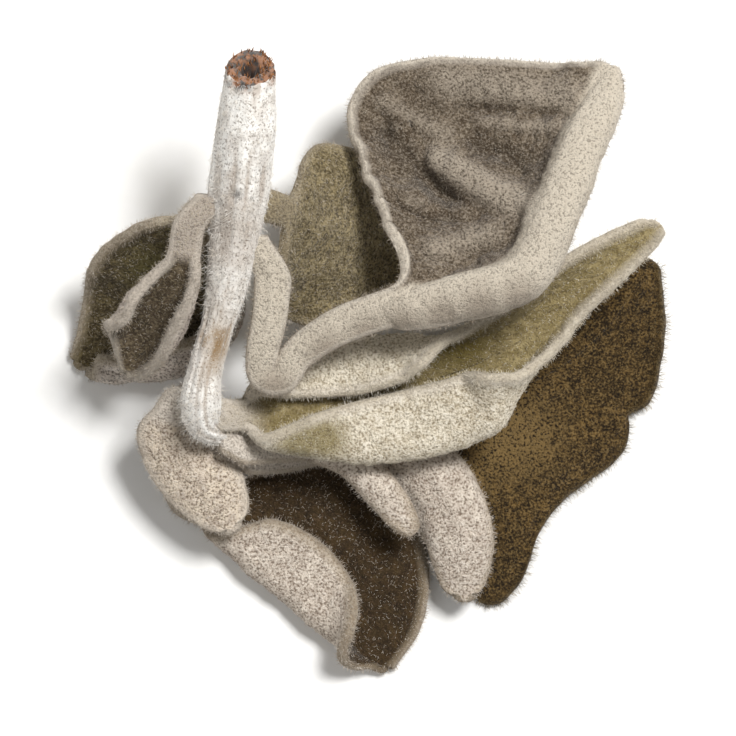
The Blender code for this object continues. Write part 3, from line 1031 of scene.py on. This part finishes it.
    def ended(self, loops: Array, marks: dict[str, Array]) -> Skin:
        """Adds rings that run into the stem at the base and round off the tip, and rests it on the table.

        Args:
            loops: the blade's rings.
            marks: the values at each place.

        Returns:
            The whole skin, marked also with ridge, for the folds' painted highlight and shade, and with
            tinge_and_shade.
        """
        join = np.array(self.join)
        centre = loops[0].mean(axis=0)
        gap = join - centre
        bow = unit(centre - loops[3].mean(axis=0)) * np.linalg.norm(gap) - gap
        shares = np.linspace(1, 0, ROOT_RINGS + 1)[:-1, None]
        way = centre + gap * shares + bow * shares * (1 - shares) ** 2
        root = way[:, None] + (loops[0] - centre) * (1 + ROOT_FLARE * shares[:, None])
        tip_centre = loops[-1].mean(axis=0)
        ahead = unit(tip_centre - loops[-4].mean(axis=0))
        turns = np.radians(TIP_TURNS)[:, None, None]
        tip = tip_centre + ahead * TIP_LENGTH * np.sin(turns) + (loops[-1] - tip_centre) * np.cos(turns)
        whole = np.concatenate([root, loops, tip])
        whole[:, :, 2] = np.maximum(whole[:, :, 2], 0)
        longer = {
            key: np.concatenate([np.repeat(v[:1], len(root), 0), v, np.repeat(v[-1:], len(tip), 0)])
            for key, v in marks.items()
        }
        # Each fold's height, for the painted highlight on its ridge and the painted shade in its valley.
        longer["ridge"] = self.folds(whole) / RIDGE_HEIGHT
        # The leaf's own tint, and on the ridged leaf painted shade along its rolled band's lower side.
        longer["tinge_and_shade"] = np.zeros(whole.shape[:2])
        for x, y, z, reach in self.tinge_and_shade:
            tinge_and_shade = bell(norm(whole - np.array((x, y, z))), reach)
            longer["tinge_and_shade"] = np.maximum(longer["tinge_and_shade"], tinge_and_shade)
        return Skin(whole, longer)

    def build(self, felt: HairCoat, fringe: HairCoat, blade: Material, hair: Material) -> None:
        """Makes the leaf, its coat of felt, and the longer fringe along its margins.

        Args:
            felt: the hairs of both faces.
            fringe: the hairs of the margins.
            blade: the leaf's finish.
            hair: the hairs' finish.
        """
        skin = self.skin()
        piece(skin.mesh(self.name + "_blade"), blade, Slot.LEAF, self.name)
        area = skin.areas()
        lifted = (skin.loops[:-1, :, 2] > CLEAR_OF_TABLE).astype(float)
        edges = skin.marks["rim"][:-1] ** 3 * lifted
        fringe = replace(fringe, length=tuple(self.fringe * size for size in fringe.length))
        for coat, part, weight, spread, seed in (
            (felt, "_felt", 0.001 + lifted, area, self.seed),
            (fringe, "_fringe", edges + 1e-6, area * edges, self.seed + 1),
        ):
            spots, out = skin.scatter(int(coat.per_square_mm * spread.sum()), seed, weight)
            piece(coat.mesh(self.name + part, spots, out, UNCOMBED, seed), hair, Slot.LEAF)


@dataclass
class Stem:
    """The woolly stem, from its cut end to the hidden end under the bud."""

    route: Places
    radii: tuple[float, ...]
    finish: StemWool
    pitch: float = 0.09  # between its rings
    sides: int = 150
    ribs: float = 0.05  # how far its four ribs stand out, as a share of its radius
    furrows: float = 0.09
    lumps: float = 0.025
    grit: float = 0.02
    cut_slant: float = 0.55
    pith_depth: float = 0.9
    torn: float = 0.26  # unevenness of the cut face
    scar: tuple[float, float, float] = (-6.95, 9.3, 11.4)
    scar_depth: float = 0.25
    bare: tuple[float, float, float] = (-8.2, 1.3, 8.6)
    knots: Places = ((-6.9, 8.9, 9.7), (-7.4, 5.0, 8.6), (-8.9, -2.4, 6.5))
    shaded: float = 7.0  # the Y where leaves shade its wool the most
    shade_reach: float = 2.4
    seed: int = 40

    def skin(self) -> Skin:
        """The stem's skin: a soft square section carried along the route, with nodes, furrows and a cut.

        Returns:
            The skin, marked with painted_shade (painted shade in the furrows and under the leaves), bare, cut
            and pith.
        """
        spine = Spine.follow(self.route, self.pitch, 0.3, 0.25)
        spans = norm(np.diff(np.array(self.route), axis=0))
        stations = np.concatenate([[0], np.cumsum(spans)]) / spans.sum()
        radius = blurred(np.interp(spine.share, stations, self.radii), spine.pitch, 0.35)
        turn = np.linspace(0, 2 * math.pi, self.sides, endpoint=False)
        run = (spine.share * spine.length)[:, None]
        around, onward = turn[None, :] + 0 * run, run + 0 * turn
        cos, sin = np.cos(turn)[None, :, None], np.sin(turn)[None, :, None]
        spoke = cos * spine.right[:, None] + sin * spine.face[:, None]
        ribs = 1 + self.ribs * np.cos(4 * turn)[None, :]
        furrow, lumps, grit = (
            soft_noise(around * scale, onward / size, self.seed + k)
            for k, (scale, size) in enumerate(STEM_GRAINS)
        )
        blend = np.sin(turn / 2)[None, :] ** 0.35  # the noise fades out where the turn closes
        relief = (self.furrows * furrow + self.lumps * lumps + self.grit * grit) * blend
        loops = spine.line[:, None] + spoke * (radius[:, None] * ribs + relief)[..., None]
        scar = norm(loops - np.array(self.scar))
        loops = loops - spoke * (self.scar_depth * bell(scar, 0.3))[..., None]
        # Painted shade: darker in the furrows and where the leaves above shade the wool, both in one mark.
        shade = 0.75 * bell(loops[..., 1] - self.shaded, self.shade_reach)
        bared = norm((loops - np.array(self.bare)) * np.array((1.0, 0.6, 1.0)))
        marks = {
            "painted_shade": np.clip(smoothstep(0.0, 0.9, -furrow) * blend + shade, 0, 1),
            "bare": bell(bared, 1.2) * (0.6 + 0.4 * smoothstep(-0.6, 0.4, lumps)),
            "cut": np.clip(smoothstep(1.0, 0.1, run) * (0.5 + 0.9 * lumps), 0, 1),
            "pith": 0.9 * bell(scar, 0.28),
        }
        return self.with_cut(loops, spine, turn, radius, marks)

    def with_cut(
        self, loops: Array, spine: Spine, turn: Array, radius: Array, marks: dict[str, Array]
    ) -> Skin:
        """Closes the upper end with a slanting torn face that sinks into the pith, and rounds the other.

        Args:
            loops: the stem's rings.
            spine: its middle.
            turn: the angle of each place round a ring.
            radius: the stem's radius at each ring.
            marks: painted_shade, bare, cut and pith at each place.

        Returns:
            The marked skin.
        """
        slant = spine.ahead[0] * self.cut_slant * radius[0] * np.sin(turn)[:, None]
        ease = bell(np.arange(len(loops)) * self.pitch, 1.2)[:, None, None]
        loops = loops + slant[None] * ease
        rim = loops[0]
        faces = []
        for k, (part, depth) in enumerate(CUT_PROFILE):
            torn = self.torn * soft_noise(turn * 3.3, turn * 0 + part * 5, self.seed + 5 + k % 2)
            sunk = self.pith_depth * depth + torn[:, None] * (1 - part * 0.5) * (part > 0.3)
            faces.append(spine.line[0] + (rim - spine.line[0]) * part + spine.ahead[0] * sunk)
        centre = loops[-1].mean(axis=0)
        turns = np.radians([20, 40, 60, 75])[:, None, None]
        tip = centre + spine.ahead[-1] * radius[-1] * np.sin(turns) * 0.6 + (loops[-1] - centre) * np.cos(turns)
        inner = np.array(CUT_PROFILE)[:, :1] + 0 * turn
        none = 0 * inner
        faced = {"painted_shade": none, "bare": none, "cut": none + 0.9, "pith": smoothstep(0.62, 0.3, inner)}
        stored = {
            key: np.concatenate([faced[key], values, np.repeat(values[-1:], len(tip), 0)])
            for key, values in marks.items()
        }
        return Skin(np.concatenate([np.stack(faces), loops, tip]), stored)

    def build(self, wool: HairCoat, tuft: HairCoat, hair: Material, fibre: Material) -> None:
        """Makes the stem, its wool, the tufts at its nodes and the torn fibres of its cut end.

        Args:
            wool: the short hairs all over.
            tuft: the long hairs at the nodes.
            hair: their finish.
            fibre: the finish of the torn fibres.
        """
        skin = self.skin()
        piece(skin.mesh("stem_body"), self.finish.material(), Slot.STEM, "stem")
        faces = len(CUT_PROFILE)
        area = 2 * math.pi * STEM_RADIUS * STEM_LENGTH
        weight = 1 - 0.9 * skin.marks["bare"][:-1]
        gaps = [norm(skin.loops[:-1] - np.array(spot)) for spot in self.knots]
        near = sum(np.exp(-((gap / 1.9) ** 4)) for gap in gaps)
        weight[:faces], near[:faces] = 0, 0
        down = unit(np.array(self.route[-4]) - np.array(self.route[0]))[None] * 0.5
        for coat, part, spread, count, seed in (
            (wool, "stem_wool", weight, wool.per_square_mm * area, self.seed),
            (tuft, "stem_tufts", near, tuft.per_square_mm * KNOT_AREA, self.seed + 1),
        ):
            spots, out = skin.scatter(int(count), seed, spread)
            piece(coat.mesh(part, spots, out, down, seed), hair, Slot.STEM)
        ring = np.zeros(weight.shape)
        ring[3 : faces + 1] = 1
        spots, _ = skin.scatter(TORN_FIBRES, self.seed + 2, ring)
        up = unit(np.array(self.route[0]) - np.array(self.route[1]))
        splinter = HairCoat(1, (0.1, 0.35), 0.04, 0.65, 0.5)
        made = splinter.mesh("cut_fibres", spots, np.repeat(up[None], len(spots), 0), UNCOMBED, self.seed + 3)
        piece(made, fibre, Slot.STEM)


@dataclass
class Studio:
    """A white table under soft light from the upper right, seen from straight above."""

    table_half: float = 0.5
    table_drop: float = -0.00003
    view_width: float = 0.0405  # metres across the picture at the sprig's middle height
    lens: float = 200.0
    sensor: float = 36.0
    key: float = 2.3  # watts
    fill: float = 0.2
    ambient: float = 0.3

    def build(self) -> None:
        """Makes the table, the lights and the camera."""
        self.table()
        self.lamp("key_light", (0.15, 0.17, 0.38), 0.12, self.key)
        self.lamp("fill_light", (-0.30, -0.12, 0.25), 0.30, self.fill)
        world = bpy.data.worlds.new("pale_room")
        world.use_nodes = True
        sky = world.node_tree.nodes["Background"]
        sky.inputs["Color"].default_value = linear("#fbfaf8")
        sky.inputs["Strength"].default_value = self.ambient
        bpy.context.scene.world = world
        bpy.context.scene.view_settings.view_transform = "Standard"
        self.camera()

    def table(self) -> None:
        """A flat square just under the sprig, white card with a faint tooth."""
        h = self.table_half
        places = [(x * h, y * h, self.table_drop) for x, y in ((-1, -1), (1, -1), (1, 1), (-1, 1))]
        made = bpy.data.meshes.new("table")
        made.from_pydata(places, [], [(0, 1, 2, 3)])
        obj = linked("table", made)
        look = Dressing("white_card")
        colour = look.tint(look.ramped(look.noise(2, 3.0), 0.3, 0.7), "#f3f2ef", "#f8f7f5")
        made.materials.append(look.done(colour, {"Roughness": 0.85}))

    def lamp(self, name: str, place: tuple[float, float, float], size: float, power: float) -> None:
        """A square soft box at a place, turned to the sprig.

        Args:
            name: the light's name.
            place: where it stands, in metres.
            size: its side in metres.
            power: its power in watts.
        """
        light = bpy.data.lights.new(name, "AREA")
        light.size = size
        light.energy = power
        obj = linked(name, light)
        away = unit(np.array(place))
        obj.location = place
        obj.rotation_euler = (math.acos(away[2]), 0, math.atan2(away[1], away[0]) + math.pi / 2)

    def camera(self) -> None:
        """Looks straight down with the picture's top towards +Y, as the photograph does."""
        low, high = SOLID_BOX
        data = bpy.data.cameras.new("camera")
        data.lens = self.lens
        data.sensor_width = self.sensor
        data.clip_start = 0.01
        obj = linked("camera", data)
        distance = self.view_width * self.lens / self.sensor
        centre = [(low[k] + high[k]) / 2 for k in range(3)]
        obj.location = (centre[0], centre[1], centre[2] + distance)
        bpy.context.scene.camera = obj


# Its blush colour is painted shade, laid along the lower side of the ridged leaf's rolled band.
SILVER = LeafFelt(
    "felt_silver", "#85785c", "#54482f", "#786b5a", "#514435", pit="#352a1d", lint="#bdb1a0",
    blush_and_shade="#988b7c", stalk="#d8cdbb", lint_share=0.35, hair_pale="#cbbfb0", hair_deep="#8d8070",
)
LILAC = LeafFelt(
    "felt_lilac", "#8b7d66", "#5c4e39", "#e0d0ba", "#b8a795", pit="#5a4937", lint="#e8ded2",
    lint_share=0.55, hair_pale="#eae0d4",
)
# Its upper colours are the dark upper face's own brown, darkened further as painted shade where the folded-over
# leaf's upper face lies in shadow.
PALE = LeafFelt(
    "felt_pale", "#413119", "#20160b", "#dccfbf", "#b5a697", pit="#5a4835", lint="#efe6da",
    lint_upper="#5f4f37", rim="#a3937b", lint_share=0.55, hair_pale="#ece2d6", hair_deep="#b9ab9a",
)
CREAM = LeafFelt(
    "felt_cream", "#a8986c", "#7c6e45", "#e6dcc8", "#c2b59d", pit="#65553a", lint="#f6efe1",
    blush_and_shade="#75672f", dark_share=0.65, lint_share=0.55, hair_pale="#f2eadc", hair_deep="#cfc4ae",
)
OLIVE_GREEN = LeafFelt(
    "felt_olive_green", "#655939", "#40361f", "#e2d6ca", "#bdb0a4", lint="#efe5da",
    rim="#a3957c", blush_and_shade="#6f6838",
)
SHADE_GREEN = LeafFelt(
    "felt_shade_green", "#92835f", "#5d5136", "#a39684", "#7d705c", rim="#94876c",
    stalk="#8d8068", lint_upper="#b0a283",
)
DUSK = LeafFelt(
    "felt_dusk", "#665845", "#3b3022", "#d0c3b8", "#a4968a", pit="#3c3022", lint="#d3c8bc",
    stalk="#bfb3a6",
)
BROWN = LeafFelt(
    "felt_brown", "#644e2b", "#241a0c", "#9c8c6c", "#6e5e40", pit="#1b1208", lint="#a58c60",
    lint_upper="#93794d", blush_and_shade="#7d663f", rim="#33260f", dark_share=1.0, lint_share=0.5,
    hair_pale="#a08c64", hair_deep="#4c3b20",
)
FINISHES = (SILVER, LILAC, PALE, CREAM, OLIVE_GREEN, SHADE_GREEN, DUSK, BROWN)


def leaves() -> Iterator[Leaf]:
    """The sprig's leaves, from the cut end to the tip.

    Returns:
        One leaf after another.
    """
    yield Leaf(
        name="leaf_cupped",
        route=(
            (-9.2, 8.3, 8.6), (-10.4, 6.7, 6.9), (-11.9, 4.8, 4.3), (-13.6, 2.8, 1.85), (-15.1, 1.3, 0.65),
            (-16.3, 0.4, 0.35),
        ),
        join=(-7.4, 8.7, 9.4), finish=OLIVE_GREEN, looks=Looks.UPPER, seed=11,
        tinge_and_shade=((-11.0, 5.5, 5.0, 2.2), (-9.5, 8.0, 8.0, 1.5)),
        left=Side(
            (1.2, 6.4, 10.2, 11.6), (-30, -35, -14, -4), (168, 168, 168, 172, 172),
            (0.6, 0.6, 0.6, 0.5, 0.35, 0.1), 0.95,
        ),
        right=Side((2.6, 3.3, 3.3, 2.4), 12, 30, 0.3, 4.5),
        petiole=0.06, widest=0.7,
    )
    yield Leaf(
        name="leaf_pod",
        route=(
            (-9.7, 7.4, 9.8), (-10.0, 5.6, 9.3), (-10.5, 3.8, 8.3), (-11.3, 2.0, 7.0), (-12.3, 0.8, 6.1),
            (-13.2, -0.1, 5.6),
        ),
        join=(-8.3, 9.3, 10.0), finish=DUSK, looks=Looks.UPPER, crumple=0.04, seed=12,
        left=Side((1.6, 2.2, 1.8), 20, (100, 130, 80, 0), 0.15, 0.9),
        right=Side((0.6, 3.4, 4.4, 2.6), 10, (0, 60, 100, 60, 0), 0.35, 1.2),
        petiole=0.14, fullness=0.6, wave=0.05,
    )
    yield Leaf(
        name="leaf_drooping",
        route=(
            (-4.9, 8.7, 9.1), (-3.4, 8.2, 7.6), (-1.2, 7.4, 5.0), (1.3, 6.6, 2.4), (3.8, 6.4, 0.8),
            (5.6, 6.6, 0.3),
        ),
        join=(-6.7, 9.0, 9.7), finish=SHADE_GREEN, looks=Looks.UPPER, seed=13,
        left=Side(4.8, -10, -30, 0.3, 6.4),
        right=Side(5.4, -5, -20, 0.3, 10.8),
        petiole=0.08, widest=0.65, wave=0.45,
    )
    yield Leaf(
        name="leaf_ridged",
        route=(
            (-5.1, 4.6, 8.6), (-5.3, 2.6, 8.3), (-5.7, 0.7, 7.9), (-5.6, -0.5, 7.6), (-4.8, -0.7, 7.6),
            (-3.9, 0.6, 7.8), (-2.0, 2.0, 8.2), (1.0, 3.2, 8.9), (4.8, 4.4, 9.6), (8.3, 5.6, 9.8),
            (9.7, 8.4, 9.3), (11.3, 12.4, 7.9), (13.6, 16.3, 5.6),
        ),
        join=(-6.3, 7.3, 9.2), finish=SILVER, crumple=0.2, veins=0.1, band=1.0,
        # Painted shade along the lower side of the rolled band.
        tinge_and_shade=(
            (-5.0, -1.2, 7.8, 1.2), (-2.0, 0.7, 8.2, 1.3), (0.2, 1.6, 8.8, 1.3), (2.2, 2.2, 9.3, 1.3),
            (4.2, 2.8, 9.7, 1.3), (6.2, 3.4, 9.9, 1.3), (8.2, 3.9, 9.9, 1.2),
        ),
        scallop=0.03, seed=14,
        left=Side(
            9.0,
            margin=(
                (2.2, 4.3, 9.1), (2.0, 6.0, 8.3), (1.0, 8.5, 7.4), (-0.2, 11.5, 6.6), (-0.8, 14.2, 6.0),
                (0.4, 16.2, 5.6), (3.2, 16.9, 5.5), (7.5, 16.7, 5.1), (11.0, 16.6, 5.2), (12.8, 16.8, 5.5),
            ),
            camber=-0.8, drop=1.9,
        ),
        right=Side((2.0, 2.5, 2.8, 2.8, 2.6), 20, (0, 0, -60, -110, -110, -90), 0.1, 1.1),
        petiole=0.4, stalk=(0.65, 0.45, 0.7, 0.7, 0.7, 0.7, 0.7), widest=0.75, fullness=0.6,
        swells=(
            Swell((4.0, 11.3), (8.2, 9.2), 0.8, 0.9), Swell((3.7, 6.5), (6.8, 7.4), 0.45, 0.7),
            Swell((4.5, 16.0), (11.2, 14.9), 0.45, 1.2), Swell((1.2, 12.7), (4.5, 9.1), -0.6, 0.8),
            Swell((6.2, 12.3), (8.8, 11.2), -0.5, 0.8), Swell((6.4, 13.6), (11.2, 13.2), 0.3, 0.45),
            Swell((2.4, 9.4), (5.8, 8.2), 0.3, 0.45), Swell((1.0, 14.6), (4.4, 12.9), 0.3, 0.5),
            Swell((5.2, 14.4), (10.4, 14.0), -0.25, 0.4), Swell((3.0, 7.9), (6.6, 8.3), -0.25, 0.4),
        ),
    )
    yield Leaf(
        name="leaf_boat",
        route=(
            (-7.3, -2.6, 5.5), (-6.0, -2.5, 5.0), (-3.4, -2.0, 4.2), (0.2, -1.4, 3.8), (4.2, -0.5, 3.8),
            (8.0, 1.2, 4.2), (11.8, 4.3, 5.0), (16.0, 7.7, 6.0),
        ),
        join=(-8.8, -2.4, 6.3), finish=CREAM, looks=Looks.UPPER, veins=0.3, crumple=0.08, seed=15,
        tinge_and_shade=((-3.6, -4.0, 6.2, 1.5), (-2.3, -3.9, 6.0, 1.3), (5.2, 1.6, 4.6, 1.6)),
        left=Side(
            (5.4, 6.6, 6.8, 5.6, 3.4, 3.2, 3.0, 2.6, 2.0), (8, 8, 8, 10, 20, 22, 20, 15, 8),
            (160, 172, 172, 140, 60, 40, 30, 20, 20), 0.38, 0.65,
        ),
        right=Side(
            (5.0, 6.7, 7.6, 7.9, 7.4, 2.6, 1.5, 1.2, 1.0), (8, 8, 8, 8, 8, 15, 15, 12, 8),
            (150, 172, 172, 172, 172, 70, 30, 15, 10), 0.4, 0.7,
        ),
        petiole=0.03, fullness=0.45, wave=0.1,
    )
    yield Leaf(
        name="leaf_small_hanging",
        route=(
            (-10.6, -2.0, 5.3), (-11.1, -2.9, 4.8), (-10.4, -4.3, 4.3), (-9.3, -6.0, 4.0), (-8.2, -7.6, 3.7),
            (-7.5, -8.9, 3.4),
        ),
        join=(-8.9, -1.4, 6.6), finish=LILAC, crumple=0.06, veins=0.15, seed=16,
        left=Side((0.8, 1.4, 2.1, 2.1), -10, -30, 0.3, 3.2),
        right=Side((2.2, 2.2, 2.0), -10, -30, 0.3, 3.2),
        petiole=0.12, fullness=0.5, widest=0.8, wave=0.05,
    )
    yield Leaf(
        name="leaf_folded_over",
        route=(
            (-7.9, -5.0, 2.3), (-9.3, -5.3, 1.5), (-10.5, -6.2, 0.9), (-10.4, -7.4, 0.5), (-8.4, -8.2, 0.4),
            (-4.9, -9.3, 0.3), (-1.8, -11.8, 0.3), (0.2, -14.6, 0.3), (1.0, -16.8, 0.4),
        ),
        join=(-7.7, -3.8, 4.0), finish=PALE, looks=Looks.UPPER, veins=0.2, crumple=0.06, seed=17,
        left=Side(
            4.0,
            margin=(
                (-8.4, -7.0, 0.7), (-6.3, -6.1, 0.5), (-3.0, -5.0, 0.4), (0.8, -6.2, 0.4), (2.8, -9.2, 0.5),
                (3.3, -12.4, 0.5), (2.7, -15.0, 0.4), (1.4, -16.8, 0.4),
            ),
        ),
        right=Side((1.6, 6.4, 6.9, 6.7, 6.0), 4, (170, 170, 176, 176, 176, 176, 170, 110, 20), 0.3, 0.7),
        petiole=0.3, fullness=0.5,
    )
    yield Leaf(
        name="leaf_olive",
        route=(
            (-6.7, -3.2, 3.5), (-4.8, -2.8, 1.9), (-1.0, -2.2, 0.8), (2.0, -2.1, 0.4), (5.5, -1.8, 0.3),
            (9.5, -0.8, 0.3), (13.4, 2.0, 0.4), (16.0, 5.8, 0.8),
        ),
        join=(-7.9, -3.6, 4.4), finish=BROWN, looks=Looks.UPPER, veins=0.15, scallop=0.09, seed=18,
        tinge_and_shade=((8.2, -3.8, 0.6, 2.6), (5.5, -6.5, 0.6, 1.6)), fringe=1.7,
        left=Side(3.6, 0, 10, 0.3, 14.0),
        right=Side(
            5.4,
            margin=(
                (0.2, -2.8, 0.7), (3.2, -5.6, 0.4), (4.9, -9.0, 0.4), (5.6, -12.0, 0.4), (6.9, -13.3, 0.5),
                (8.9, -11.5, 0.5), (9.6, -9.2, 0.4), (10.7, -7.5, 0.4), (12.6, -6.0, 0.4), (14.4, -4.5, 0.5),
                (14.7, -3.1, 0.6), (14.5, -2.2, 0.6), (15.6, -2.1, 0.7), (16.4, 0.2, 0.9), (16.7, 3.2, 1.1),
                (16.4, 5.5, 0.9),
            ),
            camber=0.3,
        ),
        petiole=0.27, wave=0.3, waves=3.5,
    )
    yield Leaf(
        name="leaf_round_tipped",
        route=(
            (-6.3, -5.1, 2.7), (-4.6, -5.0, 2.0), (-1.4, -4.3, 1.75), (1.4, -4.4, 2.05), (3.9, -6.2, 2.6),
            (5.3, -9.2, 2.7), (5.5, -12.8, 2.0),
        ),
        join=(-7.8, -3.8, 4.2), finish=PALE, crumple=0.06, veins=0.15, seed=19,
        left=Side(2.0, -10, -60, 0.3, 1.4),
        right=Side(2.4, -10, -60, 0.3, 1.6),
        petiole=0.42, fullness=0.5, wave=0.1,
    )
    yield Leaf(
        name="leaf_narrow",
        route=(
            (-6.5, -4.5, 4.3), (-4.9, -4.4, 3.6), (-2.8, -4.4, 3.25), (-1.0, -5.0, 3.3), (0.8, -6.8, 3.4),
            (2.5, -9.0, 3.3),
        ),
        join=(-8.2, -3.7, 5.1), finish=PALE, crumple=0.03, veins=0.15, seed=20,
        left=Side(1.0, -10, -80, 0.3, 0.6),
        right=Side(1.0, -10, -80, 0.3, 0.6),
        petiole=0.3, wave=0.0,
    )


def main() -> None:
    """Builds the sprig and its studio."""
    logging.basicConfig(level=logging.INFO, format="%(name)s: %(message)s")
    stem_hair = Strand("stem_hair", "#fbf8f2", "#e0d7ca").material()
    fibre = Strand("torn_fibre", "#b8804e", "#4a2410", 0.2).material()
    stem = Stem(
        route=(
            (-6.2, 16.1, 12.2), (-6.5, 13.0, 11.2), (-6.9, 9.6, 9.9), (-7.15, 7.2, 9.2), (-7.5, 4.9, 8.6),
            (-8.1, 2.4, 8.0), (-8.8, 0.0, 7.4), (-9.1, -1.8, 6.9), (-9.0, -3.0, 6.1), (-8.3, -3.6, 5.0),
            (-7.6, -3.7, 3.9),
        ),
        radii=(1.25, 1.5, 1.6, 1.3, 1.15, 0.85, 0.9, 1.1, 0.95, 0.7, 0.55), finish=StemWool(),
    )
    stem.build(HairCoat(30, (0.15, 0.45), 0.011, 0.3), HairCoat(24, (0.4, 0.8), 0.011, 0.5), stem_hair, fibre)
    felt = HairCoat(14, (0.12, 0.26), 0.011, 0.35)
    fringe = HairCoat(34, (0.16, 0.36), 0.011, 0.7)
    dressed = {finish.name: (finish.material(), finish.strand().material()) for finish in FINISHES}
    for leaf in leaves():
        leaf.build(felt, fringe, *dressed[leaf.finish.name])
    Studio().build()


if __name__ == "__main__":
    main()
